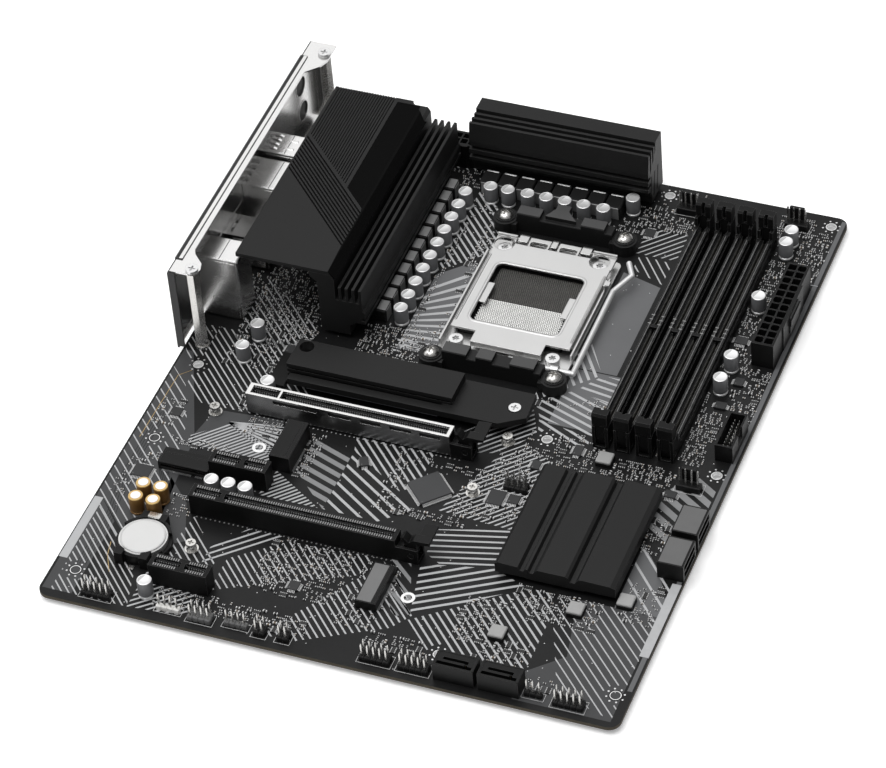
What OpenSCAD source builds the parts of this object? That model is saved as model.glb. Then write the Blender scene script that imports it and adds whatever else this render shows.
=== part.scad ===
// ATX motherboard, built as separate pieces in one frame.
// Millimetres, +Z up out of the component side.
// Origin: centre of the rear lower mounting hole, on the underside of the board.
// +X runs from the rear connector edge to the front edge.
// +Y runs from the bottom header edge to the top edge beside the CPU socket.
// Inside on_board() positions count from the rear edge, the bottom edge and the top of the board.

/* [Board] */
// board width, rear edge to front edge
board_w = 243.84; // [243:0.01:246]
// board length, bottom edge to top edge
board_l = 304.8; // [304:0.01:306]
// board thickness
pcb_t = 1.6; // [1.4:0.1:1.8]
// radius of the board's corners
corner_r = 5; // [2:0.5:6]
// radius of the mounting holes
hole_r = 1.98; // [1.9:0.01:2.05]
// rear mounting holes, distance from the rear edge
hole_x0 = 10.16; // [10:0.01:10.4]
// lower mounting holes, distance from the bottom edge
hole_y0 = 16.51; // [16.4:0.01:16.6]

/* [CPU socket] */
// socket centre, distance from the rear edge
soc_x = 130.8; // [130:0.1:131]
// socket centre, distance from the bottom edge
soc_y = 212.9; // [212.5:0.1:213.4]
// processor package edge length
cpu_w = 40; // [39:0.1:40.2]
// top of the closed load plate above the board
plate_z = 5.5; // [5.3:0.1:5.8]
// load plate sheet thickness
plate_t = 0.9; // [0.7:0.1:1]
// lever wire radius
wire_r = 1.2; // [1:0.05:1.25]
// cooler screw spacing across the board
cool_dx = 54; // [54]
// cooler screw spacing along the board
cool_dy = 90; // [90]
// backplate thickness
back_t = 2.2; // [1.8:0.1:2.4]

/* [Memory slots] */
// first memory slot centre, distance from the rear edge
dimm_x0 = 187.6; // [187.4:0.1:187.8]
// distance between memory slots
dimm_pitch = 9.27; // [9.2:0.01:9.3]
// memory slot width
dimm_w = 6.8; // [6.5:0.1:7]
// memory slot height
dimm_h = 7.2; // [7:0.1:7.6]
// lower end of the memory slots
dimm_y0 = 142; // [141.8:0.1:142.2]
// upper end of the memory slots
dimm_y1 = 282; // [281.8:0.1:282.2]
// top of the memory latches above the board
latch_top = 18.6; // [18:0.1:19.5]

/* [Expansion slots] */
// first expansion slot from the bottom edge
slot_y0 = 123.4; // [123.2:0.1:123.6]
// distance between slot positions
slot_pitch = 20.32; // [20.32]
// start of the slots from the rear edge
slot_x0 = 42; // [41.8:0.1:42.2]
// long slot length
slot_long = 89; // [88.8:0.1:89.2]
// short slot length
slot_short = 25; // [24.8:0.1:25.2]
// slot height
slot_h = 10.8; // [10.6:0.1:11.2]

/* [Rear panel] */
// shield lower end from the bottom edge
sh_y0 = 148.9; // [148.7:0.1:149.1]
// shield upper end from the bottom edge
sh_y1 = 307.3; // [307.1:0.1:307.5]
// shield height above the board
sh_h = 42; // [41.5:0.1:42.5]
// shield sheet thickness
sh_t = 0.5; // [0.4:0.1:0.5]
// shield inner face, distance behind the rear edge
sh_x = 1.4; // [1.4:0.1:1.5]
// thickness of the painted panel outside the shield
pan_t = 0.8; // [0.7:0.1:0.9]
// connector mouths, distance behind the rear edge
nose_x = 2.9; // [2.9:0.1:3.2]

/* [Heatsinks] */
// top of the rear cover above the board
cover_z = 36; // [35.5:0.1:36.5]
// top of the long bar heatsink above the board
top_z = 31; // [30.5:0.1:31.5]
// number of line grooves on the far part of the cover
n_lines = 22; // [8:1:24]
// number of diagonal grooves on the cover
n_diag = 11; // [5:1:11]

/* [Hidden] */
$fn = 32;
eps = 0.02;
atx = [
  [hole_x0, hole_y0], [165.1, hole_y0], [237.49, hole_y0],
  [hole_x0, 95.25],
  [hole_x0, 140.97], [165.1, 140.97], [237.49, 140.97],
  [33.02, 298.45], [165.1, 298.45], [237.49, 298.45]
];
cool_y = 215;
cool = [for (a = [-1, 1], b = [-1, 1]) [soc_x + a * cool_dx / 2, cool_y + b * cool_dy / 2]];
torx_y = 213.7;
torx = [for (a = [-1, 1], b = [-1, 1]) [soc_x + a * 21.4, torx_y + b * 29.8]];
hinge_y = 249.5;
hinge_z = 3.3;
lever_y = 177.6;
lever_z = 2.9;
lever_x = 163.3;
// where the line of the cover's first diagonal groove meets the rear edge
diag_y = 269.6;
m2_stand = [[28.5, 116.5], [50.3, 40.7], [147, 103], [150.5, 134.6]];
vrm_y = [for (k = [0:10]) 191.2 + 8.15 * k];
vrm_x = [for (k = [0:7]) 88.9 + 8.15 * k];
caps = concat(
  [for (k = [0:9]) [82.7, 190 + 8.6 * k]],
  [for (x = [92, 100, 109, 117.5, 126, 134.5, 143.5]) [x, 273.6]],
  [[153.5, 283.6], [224.6, 283], [224.6, 275.2], [223.9, 239.5], [224, 202], [223.9, 188]],
  [[28.5, 163.5], [27.5, 149.5], [43, 12.2], [45.8, 132.6]],
  [[46.2, 72.3], [53.6, 72.3], [61, 72.3]]
);
gold_caps = [[20.6, 62.4], [28.2, 62.4], [20.6, 54.6], [28.2, 54.6]];
cell = [31, 37.5];
// pivots of the memory latches, in from the slot ends and up from the board
piv_y = 3.2;
piv_z = 3.4;
// pivots of the long slots' latches
lat_x = 137.4;
lat_z = 4.2;
// posts that carry the shield's corners
posts = [[7.2, 152.6], [7, 299.9]];
// heights of the three audio jacks, and how deep each bore is
jack_z = [6.2, 16.6, 27];
jack_l = [14, 14.3, 14.6];
// round holes for antenna sockets, closed by the panel outside
ant_y = 289.9;
ant_z = [16, 29.8];
ant_r = 4.6;
// capacitor cans
can_r = 3.1;
can_h = 8.8;
bevel = 0.35;
// soldered tails under the board
tail_r = 0.6;
tail_h = 1.6;
// how much the balls at the lever's bends stand proud of its wire
ball_extra = 0.06;
// screws of the drive heatsink, front and rear
m2_front = [149.3, 147.1];
m2_rear = [55.8, 152.6];
// empty standoff holes in the board
m2_holes = [[53.8, 102.4], [142.8, 41.2]];
// openings in the shield for the connectors, [y0, y1, z0, z1]
sh_cut = [
  [171.9, 184.3, 1, 32.2],
  [204.2, 214.4, 1, 16.4],
  [224.2, 240.4, 1, 28.6],
  [244.1, 256.2, 1, 30.4],
  [262.6, 277.8, 1.6, 8]
];
// [x, y, columns, rows] of the plain pin headers, first pin
hdr = [
  [19, 5.4, 5, 2], [51, 7, 4, 1], [65, 5.4, 4, 2], [80, 7, 4, 1], [93, 5.4, 2, 2],
  [103, 5.4, 2, 2], [137.6, 5.4, 5, 2], [153.6, 5.4, 5, 2], [205, 7, 3, 1], [217, 5.4, 5, 2],
  [159, 109.6, 4, 2]
];
// [x, y, pins] of the fan headers with a back wall
fan = [[172.4, 290.6, 4], [219.6, 294.2, 4], [225.4, 130.6, 4]];
// pitch of the pins
pp = 2.54;
// [x, y, width, length, height, turn] of the flat packages
ics = [
  [129.6, 99.8, 14, 14, 1.5, 45], [157, 103, 7, 8.4, 0.9, 0], [164.2, 104, 5, 5, 0.9, 0],
  [166, 125.2, 4, 5, 0.9, 0], [179.6, 138, 4, 6, 0.9, 0], [223.4, 124.6, 5, 4, 1.4, 0],
  [97.4, 33.6, 4.5, 5, 0.9, 0], [13.4, 75.4, 8, 7, 1, 0], [13, 111.6, 5, 5, 0.9, 0],
  [44.6, 160.4, 5, 5, 0.9, 0], [98.6, 106.2, 4, 5.4, 1.4, 25], [222.8, 219, 5.6, 4.6, 1, 0],
  [229.6, 195, 4.2, 4.6, 1, 0], [226.6, 179.6, 5, 4, 1, 0], [164.6, 272.4, 5, 5, 0.9, 0]
];
// [x, y, columns, rows, pitch] of the soldered through pins
tails = [
  [233.7, 209.5, 2, 12, 4.2], [65.2, 294.2, 4, 2, 3.6], [19, 5.4, 5, 2, 2.54], [137.6, 5.4, 5, 2, 2.54],
  [153.6, 5.4, 5, 2, 2.54], [217, 5.4, 5, 2, 2.54], [3, 174, 3, 2, 8], [4, 226, 4, 3, 4.5], [4, 246, 4, 3, 4]
];

c_pcb = [0.07, 0.07, 0.08];
c_black = [0.06, 0.06, 0.06];
c_char = [0.17, 0.17, 0.18];
c_steel = [0.72, 0.73, 0.74];
c_chrome = [0.8, 0.8, 0.82];
c_nick = [0.66, 0.65, 0.62];
c_gold = [0.75, 0.6, 0.3];
c_grey = [0.45, 0.45, 0.47];
c_cap = [0.62, 0.62, 0.64];
c_bronze = [0.55, 0.42, 0.22];
c_white = [0.8, 0.8, 0.8];

module on_board() {
  translate([-hole_x0, -hole_y0, pcb_t]) children();
}

// block between two corners
module box(a, b) {
  translate(a) cube([b[0] - a[0], b[1] - a[1], b[2] - a[2]]);
}

// centred rectangle with round corners
module rr(w, l, r) {
  square([w - 2 * r, l], center = true);
  square([w, l - 2 * r], center = true);
  for (a = [-1, 1], b = [-1, 1])
    translate([a * (w / 2 - r), b * (l / 2 - r)]) circle(r);
}

// straight round rod between two points
module rod(a, b, r) {
  d = b - a;
  len = norm(d);
  translate(a)
    rotate([0, acos(d[2] / len), atan2(d[1], d[0])])
      cylinder(h = len, r = r);
}

// profile given as [y, z] points, swept along X from x0 to x1
module sweep_x(x0, x1, pts) {
  translate([x0, 0, 0]) rotate([90, 0, 90]) linear_extrude(x1 - x0) polygon(pts);
}

// profile given as [x, z] points, swept along Y from y0 to y1
module sweep_y(y0, y1, pts) {
  translate([0, y1, 0]) rotate([90, 0, 0]) linear_extrude(y1 - y0) polygon(pts);
}

// children as drawn when s is 1, mirrored end for end when s is -1
module side(s) {
  if (s > 0) children();
  else mirror([0, 1, 0]) children();
}

// cross recess for a screw head
module cross(r, depth) {
  for (a = [0, 90]) rotate(a) translate([-r, -0.35, -depth]) cube([2 * r, 0.7, depth + 1]);
}

// six lobed recess for a screw head
module lobes(r, depth) {
  for (a = [0, 60, 120]) rotate(a) translate([-r, -0.42, -depth]) cube([2 * r, 0.84, depth + 1]);
}

/* ---------- board and socket ---------- */

module pcb() {
  color(c_pcb) on_board() translate([0, 0, -pcb_t]) difference() {
    translate([board_w / 2, board_l / 2, 0]) linear_extrude(pcb_t) rr(board_w, board_l, corner_r);
    for (p = atx) translate([p[0], p[1], -1]) cylinder(h = pcb_t + 2, r = hole_r, $fn = 48);
    for (p = cool) translate([p[0], p[1], -1]) cylinder(h = pcb_t + 2, r = 2.9);
    for (p = torx) translate([p[0], p[1], -1]) cylinder(h = pcb_t + 2, r = 2.1);
    for (p = m2_holes) translate([p[0], p[1], -1]) cylinder(h = pcb_t + 2, r = 1.6);
  }
}

module socket_backplate() {
  color(c_steel) on_board() difference() {
    union() {
      translate([soc_x, cool_y, -pcb_t - back_t]) linear_extrude(back_t) rr(66, 102, 8);
      for (p = cool) translate([p[0], p[1], -pcb_t]) cylinder(h = pcb_t, r = 2.6);
    }
    translate([soc_x, soc_y, -pcb_t - back_t - 1]) linear_extrude(back_t + 2) rr(28, 30, 3);
    for (a = [-1, 1]) translate([soc_x, cool_y + a * 36, -pcb_t - back_t - 1])
      linear_extrude(back_t + 2) rr(24, 12, 3);
    for (p = cool) translate([p[0], p[1], -6]) cylinder(h = 8, r = 1.6);
    for (p = torx) translate([p[0], p[1], -6]) cylinder(h = 8, r = 1.6);
  }
}

module socket_body() {
  color(c_black) on_board() difference() {
    translate([soc_x, soc_y, 0]) linear_extrude(3.4) rr(46, 46, 1.5);
    translate([soc_x - cpu_w / 2 - 0.15, soc_y - cpu_w / 2 - 0.15, 1.7])
      cube([cpu_w + 0.3, cpu_w + 0.3, 5]);
    for (a = [-1, 1]) translate([soc_x + a * 20, soc_y - 3, 1.7]) cylinder(h = 5, r = 2);
    for (a = [-1, 1]) translate([soc_x + a * 20, soc_y + 6, 1.7]) cylinder(h = 5, r = 2);
  }
}

module socket_contacts() {
  color(c_gold) on_board() translate([soc_x - 19, soc_y - 19, 1.7]) cube([38, 38, 0.2]);
}

module socket_frame() {
  color(c_steel) on_board() {
    difference() {
      union() {
        translate([131.7, 213.3, 0]) linear_extrude(1.5) rr(57, 72.6, 2.5);
        // left stiffening wall
        box([103.2, 180, 1], [104.1, 238.5, 5]);
        // right wall beside the lever
        box([159.1, 186, 1], [159.9, 236, 4.4]);
        // hinge ears for the load plate
        for (e = [[114.5, 4.2], [129.2, 2.6], [142.6, 4.4]]) {
          box([e[0], hinge_y - 2.6, 1], [e[0] + e[1], hinge_y + 2.6, hinge_z]);
          translate([e[0], hinge_y, hinge_z]) rotate([0, 90, 0]) cylinder(h = e[1], r = 2.6);
          box([e[0], hinge_y - 3.6, 5], [e[0] + e[1], hinge_y, 5.9]);
        }
        // lever bearings
        for (x = [112, 135, 153.5]) {
          box([x, lever_y - 2.2, 0], [x + 3.6, lever_y + 2.2, lever_z]);
          translate([x, lever_y, lever_z]) rotate([0, 90, 0]) cylinder(h = 3.6, r = 2.2);
        }
        // catch beside the lever
        box([159.1, 228, 1], [159.9, 232, 7.2]);
        box([159.1, 228.6, 6.4], [161.6, 231.4, 7.2]);
      }
      translate([soc_x - 23.2, soc_y - 23.2, -1]) cube([46.4, 46.4, 4]);
      for (p = torx) translate([p[0], p[1], -1]) cylinder(h = 4, r = 1.8);
      translate([100, hinge_y, hinge_z]) rotate([0, 90, 0]) cylinder(h = 60, r = 1.5);
      translate([100, lever_y, lever_z]) rotate([0, 90, 0]) cylinder(h = 70, r = wire_r + 0.3);
    }
  }
}

module load_plate() {
  z0 = plate_z - plate_t;
  straps = [[119.2, 128.6], [132.4, 142]];
  color(c_steel) on_board() difference() {
    union() {
      // main sheet, with room round the screws
      translate([0, 0, z0]) linear_extrude(plate_t) difference() {
        union() {
          translate([105.4, 188.6]) square([52.8, 56]);
          translate([116.6, 182.6]) square([31.2, 8]);
          translate([104.8, 240]) square([9, 8.7]);
          translate([148, 240]) square([10.6, 8.7]);
        }
        translate([soc_x, soc_y]) rr(39.2, 36.6, 3);
        for (p = torx) translate(p) circle(4.4);
      }
      // turned-up edges of the two upper corners
      box([104.8, 247.95, z0], [113.8, 248.7, plate_z + 1.1]);
      box([148, 247.95, z0], [158.6, 248.7, plate_z + 1.1]);
      // press pads beside the window
      for (a = [-1, 1]) {
        box([soc_x + a * 18.4 - 1.7, 206.5, z0 - 0.5], [soc_x + a * 18.4 + 1.7, 219, z0 + 0.35]);
      }
      // side flanges
      box([105.4, 192, 2.4], [106.3, 236, z0 + eps]);
      box([157.3, 192, 2.4], [158.2, 236, z0 + eps]);
      // lower lip
      box([116.6, 181.7, 2.6], [147.8, 182.6 + eps, plate_z]);
      // straps to the hinge rod
      for (x = straps) {
        box([x[0], 244, z0], [x[1], hinge_y + 0.6, plate_z - 0.1]);
        for (e = [x[0], x[1] - 2]) box([e, hinge_y - 0.9, hinge_z], [e + 2, hinge_y + 0.9, z0 + eps]);
      }
      translate([110.5, hinge_y, hinge_z]) rotate([0, 90, 0]) cylinder(h = 39, r = 1.1);
    }
    for (x = straps) translate([(x[0] + x[1]) / 2, 246.2, z0 - 1]) linear_extrude(3) rr(7.6, 3.2, 1.2);
  }
}

// bent wire; the balls round off its corners
module load_lever() {
  bends = [
    [110.6, lever_y, lever_z], [lever_x, lever_y, lever_z], [lever_x, 228.6, 4.4],
    [168.4, 238.6, 6], [165.2, 244.4, 7]
  ];
  color(c_nick) on_board() {
    for (k = [0:3]) rod(bends[k], bends[k + 1], wire_r);
    for (k = [1:4]) translate(bends[k]) rotate([0, 90, 0]) sphere(wire_r + ball_extra);
  }
}

module socket_screws() {
  color(c_steel) on_board() for (p = torx) translate(p) difference() {
    union() {
      translate([0, 0, 1.5]) cylinder(h = 1.9, r = 3);
      translate([0, 0, -3.4]) cylinder(h = 5, r = 1.45);
    }
    translate([0, 0, 3.4]) lobes(1.5, 1.1);
  }
}

// one plastic cooler bracket; s is 1 for the top one and -1 for the bottom one. Its lugs are
// blocks [x0, x1] from the socket's centre line
module bracket(s, lugs, back) {
  cy = cool_y + s * cool_dy / 2;
  front = cy - 1.6;
  color(c_black) on_board() difference() {
    union() {
      for (a = [-1, 1]) translate([soc_x + a * cool_dx / 2, cy, 0]) {
        cylinder(h = 5.6, r = 5.3);
        cylinder(h = 6.2, r = 4.2);
      }
      for (a = [-1, 1]) box([soc_x + a * 24 - 3, cy - 3.6, 0], [soc_x + a * 24 + 3, cy + 4.5, 5]);
      sweep_x(soc_x - 21.6, soc_x + 21.6, [
        [front, 0], [back + 0.2, 0], [back + 0.2, 7.6], [back - 0.2, 8], [front + 0.3, 8], [front, 7.6]
      ]);
      for (q = lugs) sweep_x(soc_x + q[0], soc_x + q[1], [
        [front, 7], [back, 7], [back, 9.6], [back - 0.5, 10], [front + 0.4, 10], [front, 9.6]
      ]);
      // middle lug of the top bracket, narrowing away from the socket
      if (s > 0) translate([soc_x, 0, 7]) linear_extrude(3) polygon([
        [-8.8, cy + 0.2], [5.1, cy + 0.2], [0.2, cy + 5.5],
        [0.2, cy + 8.8], [-5.8, cy + 8.8], [-5.8, cy + 5.5]
      ]);
    }
    for (a = [-1, 1]) translate([soc_x + a * cool_dx / 2, cy, -1]) cylinder(h = 9, r = 1.8);
  }
}

module cooler_bracket_top() { bracket(1, [[-21.1, -10.8], [7.8, 18.3]], cool_y + cool_dy / 2 + 4.4); }

module cooler_bracket_bottom() {
  bracket(-1, [[-21.6, -10.8], [-6.6, 0.5], [8.3, 18.9]], cool_y - cool_dy / 2 + 4.9);
}

module cooler_bracket_screws() {
  color(c_chrome) on_board() for (p = cool) translate(p) difference() {
    union() {
      intersection() {
        translate([0, 0, 6.2]) cylinder(h = 2.3, r = 3.4);
        translate([0, 0, 4.4]) sphere(4.1, $fn = 48);
      }
      translate([0, 0, -2.6]) cylinder(h = 9, r = 1.45);
    }
    translate([0, 0, 8.4]) cross(1.9, 1.3);
  }
}

/* ---------- power section ---------- */

module power_stages() {
  color(c_black) on_board() {
    for (y = vrm_y) translate([56.5, y - 2.6, 0]) cube([5.2, 5.2, 0.9]);
    for (x = vrm_x) translate([x - 2.6, 291.5, 0]) cube([5.2, 5.2, 0.9]);
  }
}

module thermal_pads() {
  color(c_grey) on_board() {
    box([55.4, 186, 0.9], [62.8, 278, 2.4]);
    box([84, 290.4, 0.9], [152, 298, 2.4]);
    box([60, 139, 1.6], [118, 155, 3.2]);
    box([186, 82, 1.2], [206, 102, 2.2]);
  }
}

module rear_vrm_heatsink() {
  y0 = 174;
  y1 = 287.5;
  color(c_char) on_board() difference() {
    sweep_y(y0, y1, [
      [53, 2.4], [66, 2.4], [66, 7.4], [69, 10], [73.4, 10], [73.4, 11.6], [71.6, 11.6],
      [71.6, 12.8], [73.4, 12.8], [73.4, 16], [72.6, 17], [72.6, 28.2], [71.4, 28.2],
      [71.4, 21], [69.6, 21], [69.6, 28.2], [68.4, 28.2], [68.4, 21], [66.6, 21],
      [66.6, 28.2], [65.4, 28.2], [65.4, 21], [63.6, 21], [63.6, 28.2], [62.4, 28.2],
      [62.4, 21], [60.8, 21], [60.8, 32], [59.6, cover_z - 2], [50, cover_z - 2],
      [50, 31.6], [53, 29]
    ]);
    // seat round the screw hole of the board at the far end
    translate([56, 281, -1]) cylinder(h = 12, r = 1.7);
  }
}

module rear_heatsink_cover() {
  z1 = cover_z;
  far_y = 287.5;
  color(c_char) on_board() difference() {
    sweep_y(174, far_y, [
      [17, z1 - 2], [59.6, z1 - 2], [61.6, z1 - 3.6], [62, z1 - 3.2], [58.6, z1], [17, z1]
    ]);
    // cut corner at the far right end
    translate([64.8, 282.2, z1 - 6]) rotate(45) translate([-5, 0, 0]) cube([12, 12, 10]);
    // long line grooves on the far part, ended by the diagonal band
    for (k = [0:n_lines - 1])
      let (x = 18.4 + k * 1.24)
        translate([x, diag_y - x + 3, z1 - 0.4]) cube([0.55, 90, 1]);
    // diagonal grooves
    intersection() {
      translate([17.6, 176, z1 - 0.4]) cube([40.4, 110, 1]);
      for (k = [0:n_diag - 1])
        translate([17, diag_y - 17 - k * 2.1, z1 - 0.4]) rotate(-45) translate([-2, 0, 0]) cube([62, 0.8, 1]);
    }
    // dark strip recess beside the lines
    translate([0, 0, z1 - 0.25]) linear_extrude(1) polygon([
      [46.6, diag_y - 46.6 + 3], [57.4, diag_y - 57.4 + 3], [57.4, far_y - 2.4], [46.6, far_y - 2.4]
    ]);
  }
}

module top_vrm_heatsink() {
  color(c_char) on_board() sweep_x(78.5, 160.2, [
    [289.2, 2.4], [303.5, 2.4], [303.5, top_z], [295.8, top_z], [295.6, 27],
    [294.4, 25.4], [294.6, 30], [293.4, 30], [292.6, 23.6], [291.4, 22],
    [291.4, 30], [290.2, 30], [289.4, 20.4], [288.2, 19], [288.2, 30], [287, 30],
    [285.4, 21], [285.4, 18.6], [288, 18.6], [288, 17], [285, 17], [285, 14.6],
    [288, 14.6], [288, 13], [284.6, 13], [284.6, 11.4], [287.4, 9.6], [287.4, 7.6], [289.2, 7.6]
  ]);
}

// block standing on the board, centred over its place
module choke(w, l, h) {
  translate([-w / 2, -l / 2, 0]) cube([w, l, h]);
}

module chokes() {
  color(c_black) on_board() {
    for (y = vrm_y) translate([72, y, 0]) choke(9.2, 7.4, 6.6);
    for (x = vrm_x) translate([x, 281.6, 0]) choke(7.4, 8.6, 6.6);
    for (p = [[192, 135.4], [226, 63], [208.6, 53.2], [183.6, 32.6]])
      translate(p) choke(6.6, 6.6, 3);
  }
}

// round can with a small bevel round its top
module can() {
  rotate_extrude()
    polygon([[0, 0], [can_r, 0], [can_r, can_h - bevel], [can_r - bevel, can_h], [0, can_h]]);
}

module polymer_capacitors() {
  color(c_cap) on_board() for (p = caps) translate(p) can();
}

module audio_capacitors() {
  color(c_bronze) on_board() for (p = gold_caps) translate(p) can();
}

/* ---------- memory slots ---------- */

module dimm_slot(x) {
  w = dimm_w / 2;
  difference() {
    union() {
      box([x - w, dimm_y0 + 6, 0], [x + w, dimm_y1 - 6, dimm_h]);
      // end cheeks beside the latches
      for (a = [-1, 1]) {
        box([x + a * 2.75 - 0.65, dimm_y0 + 0.4, 0], [x + a * 2.75 + 0.65, dimm_y0 + 7, 11.6]);
        box([x + a * 2.75 - 0.65, dimm_y1 - 7, 0], [x + a * 2.75 + 0.65, dimm_y1 - 0.4, 11.6]);
      }
      box([x - w, dimm_y0 + 0.4, 0], [x + w, dimm_y0 + 7, 0.9]);
      box([x - w, dimm_y1 - 7, 0], [x + w, dimm_y1 - 0.4, 0.9]);
    }
    // module groove with the key left standing
    box([x - 0.75, dimm_y0 + 5, 2], [x + 0.75, 209.8, dimm_h + 1]);
    box([x - 0.75, 211.4, 2], [x + 0.75, dimm_y1 - 5, dimm_h + 1]);
    // lead-in steps along both sides of the groove
    box([x - 1.7, dimm_y0 + 5, dimm_h - 1.4], [x + 1.7, 209.8, dimm_h + 1]);
    box([x - 1.7, 211.4, dimm_h - 1.4], [x + 1.7, dimm_y1 - 5, dimm_h + 1]);
    // side ledges
    for (a = [-1, 1])
      box([x + a * w - 0.5, dimm_y0 + 9, dimm_h - 2.6], [x + a * w + 0.5, dimm_y1 - 9, dimm_h + 1]);
    // latch pivot holes
    for (y = [dimm_y0 + piv_y, dimm_y1 - piv_y])
      translate([x - 4, y, piv_z]) rotate([0, 90, 0]) cylinder(h = 8, r = 1.2);
  }
}

module dimm_slots() {
  color(c_black) on_board() for (k = [0:3]) dimm_slot(dimm_x0 + k * dimm_pitch);
}

// latch k; s is 1 at the top end of the slot and -1 at the bottom end
module dimm_latch(k, s) {
  x = dimm_x0 + k * dimm_pitch;
  y = s > 0 ? dimm_y1 - piv_y : dimm_y0 + piv_y;
  color(c_black) on_board() translate([x, y, 0]) side(s) {
    sweep_x(-1.75, 1.75, [
      [-1.6, 2], [1.6, 2], [2.4, 5], [2.4, 12.4], [-1.6, 12.4], [-2.2, 6]
    ]);
    translate([-1.75, 0, piv_z]) rotate([0, 90, 0]) cylinder(h = 3.5, r = 1.9);
    translate([-3.1, 0, piv_z]) rotate([0, 90, 0]) cylinder(h = 6.2, r = 0.9);
    difference() {
      sweep_x(-3.3, 3.3, [
        [-2.2, 12.2], [2.6, 12.2], [3, 17.6], [2.2, latch_top], [-1.4, latch_top], [-2.2, 17.8]
      ]);
      box([-0.8, -3, 12], [0.8, -0.6, latch_top + 1]);
    }
    box([-0.55, -4.4, 2.6], [0.55, -1, 3.6]);
  }
}

module dimm_latch_top_1() { dimm_latch(0, 1); }
module dimm_latch_top_2() { dimm_latch(1, 1); }
module dimm_latch_top_3() { dimm_latch(2, 1); }
module dimm_latch_top_4() { dimm_latch(3, 1); }
module dimm_latch_bottom_1() { dimm_latch(0, -1); }
module dimm_latch_bottom_2() { dimm_latch(1, -1); }
module dimm_latch_bottom_3() { dimm_latch(2, -1); }
module dimm_latch_bottom_4() { dimm_latch(3, -1); }

/* ---------- expansion slots ---------- */

// plastic slot housing; w is the half width
module slot(y, len, w) {
  x0 = slot_x0;
  x1 = slot_x0 + len;
  difference() {
    box([x0, y - w, 0], [x1, y + w, slot_h]);
    box([x0 + 1.6, y - 0.95, 2.2], [x0 + 12.8, y + 0.95, slot_h + 1]);
    box([x0 + 14.6, y - 0.95, 2.2], [x1 - 1.6, y + 0.95, slot_h + 1]);
    box([x0 + 1.6, y - 1.5, slot_h - 1], [x0 + 12.8, y + 1.5, slot_h + 1]);
    box([x0 + 14.6, y - 1.5, slot_h - 1], [x1 - 1.6, y + 1.5, slot_h + 1]);
  }
}

// clevis at the front end of a long slot, holding its latch
module slot_tail(y) {
  difference() {
    union() {
      box([slot_x0 + slot_long - eps, y - 2.6, 0], [slot_x0 + slot_long + 2.4, y + 2.6, 6]);
      box([slot_x0 + slot_long, y - 3.5, 0], [lat_x + 3, y + 3.5, 1.2]);
      for (a = [-1, 1])
        box([slot_x0 + slot_long, y + a * 2.95 - 0.55, 0], [lat_x + 3, y + a * 2.95 + 0.55, 7.6]);
    }
    translate([lat_x, y - 6, lat_z]) rotate([-90, 0, 0]) cylinder(h = 12, r = 1.3);
  }
}

module slot_latch(y) {
  color(c_black) on_board() {
    translate([lat_x, y - 2.05, lat_z]) rotate([-90, 0, 0]) cylinder(h = 4.1, r = 2.1);
    translate([lat_x, y - 3.4, lat_z]) rotate([-90, 0, 0]) cylinder(h = 6.8, r = 1);
    sweep_y(y - 2.05, y + 2.05, [
      [135.4, 4], [139.2, 4], [139.6, 9.4], [144, 10.4], [144, 11.8], [138.4, 11.8],
      [136.4, 10], [134.2, 12.4], [133.2, 11.8], [134.6, 9]
    ]);
    sweep_y(y - 2.05, y + 8.6, [[139.6, 9.8], [145.2, 10.6], [145.2, 12], [139.6, 11.6]]);
  }
}

module graphics_slot() {
  color(c_black) on_board() {
    slot(slot_y0, slot_long, 2.7);
    slot_tail(slot_y0);
  }
}

module graphics_slot_armour() {
  w = 3.4;
  color(c_chrome) on_board() difference() {
    box([slot_x0 - 0.6, slot_y0 - w, 0.8], [slot_x0 + slot_long - 0.1, slot_y0 + w, slot_h + 0.4]);
    box([slot_x0 - eps, slot_y0 - 2.75, 0], [slot_x0 + slot_long + 1, slot_y0 + 2.75, slot_h]);
    box([slot_x0 + 1.2, slot_y0 - 2.2, 1], [slot_x0 + 13.2, slot_y0 + 2.2, slot_h + 2]);
    box([slot_x0 + 14.2, slot_y0 - 2.2, 1], [slot_x0 + slot_long - 1.6, slot_y0 + 2.2, slot_h + 2]);
    // windows along both upper edges
    for (x = [[53.5, 73], [78, 88], [92, 101], [105, 114.5], [118, 127]])
      for (a = [-1, 1])
        box([x[0], slot_y0 + a * 3.2 - 0.8, slot_h - 2.6], [x[1], slot_y0 + a * 3.2 + 0.8, slot_h - 0.7]);
  }
}

module graphics_slot_latch() { slot_latch(slot_y0); }

module lower_x16_slot() {
  color(c_black) on_board() {
    slot(slot_y0 - 3 * slot_pitch, slot_long, 3.5);
    slot_tail(slot_y0 - 3 * slot_pitch);
  }
}

module lower_slot_latch() { slot_latch(slot_y0 - 3 * slot_pitch); }

module short_slots() {
  color(c_black) on_board() {
    slot(slot_y0 - 2 * slot_pitch, slot_short, 3.5);
    slot(slot_y0 - 5 * slot_pitch, slot_short, 3.5);
  }
}

/* ---------- drive card parts ---------- */

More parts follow.
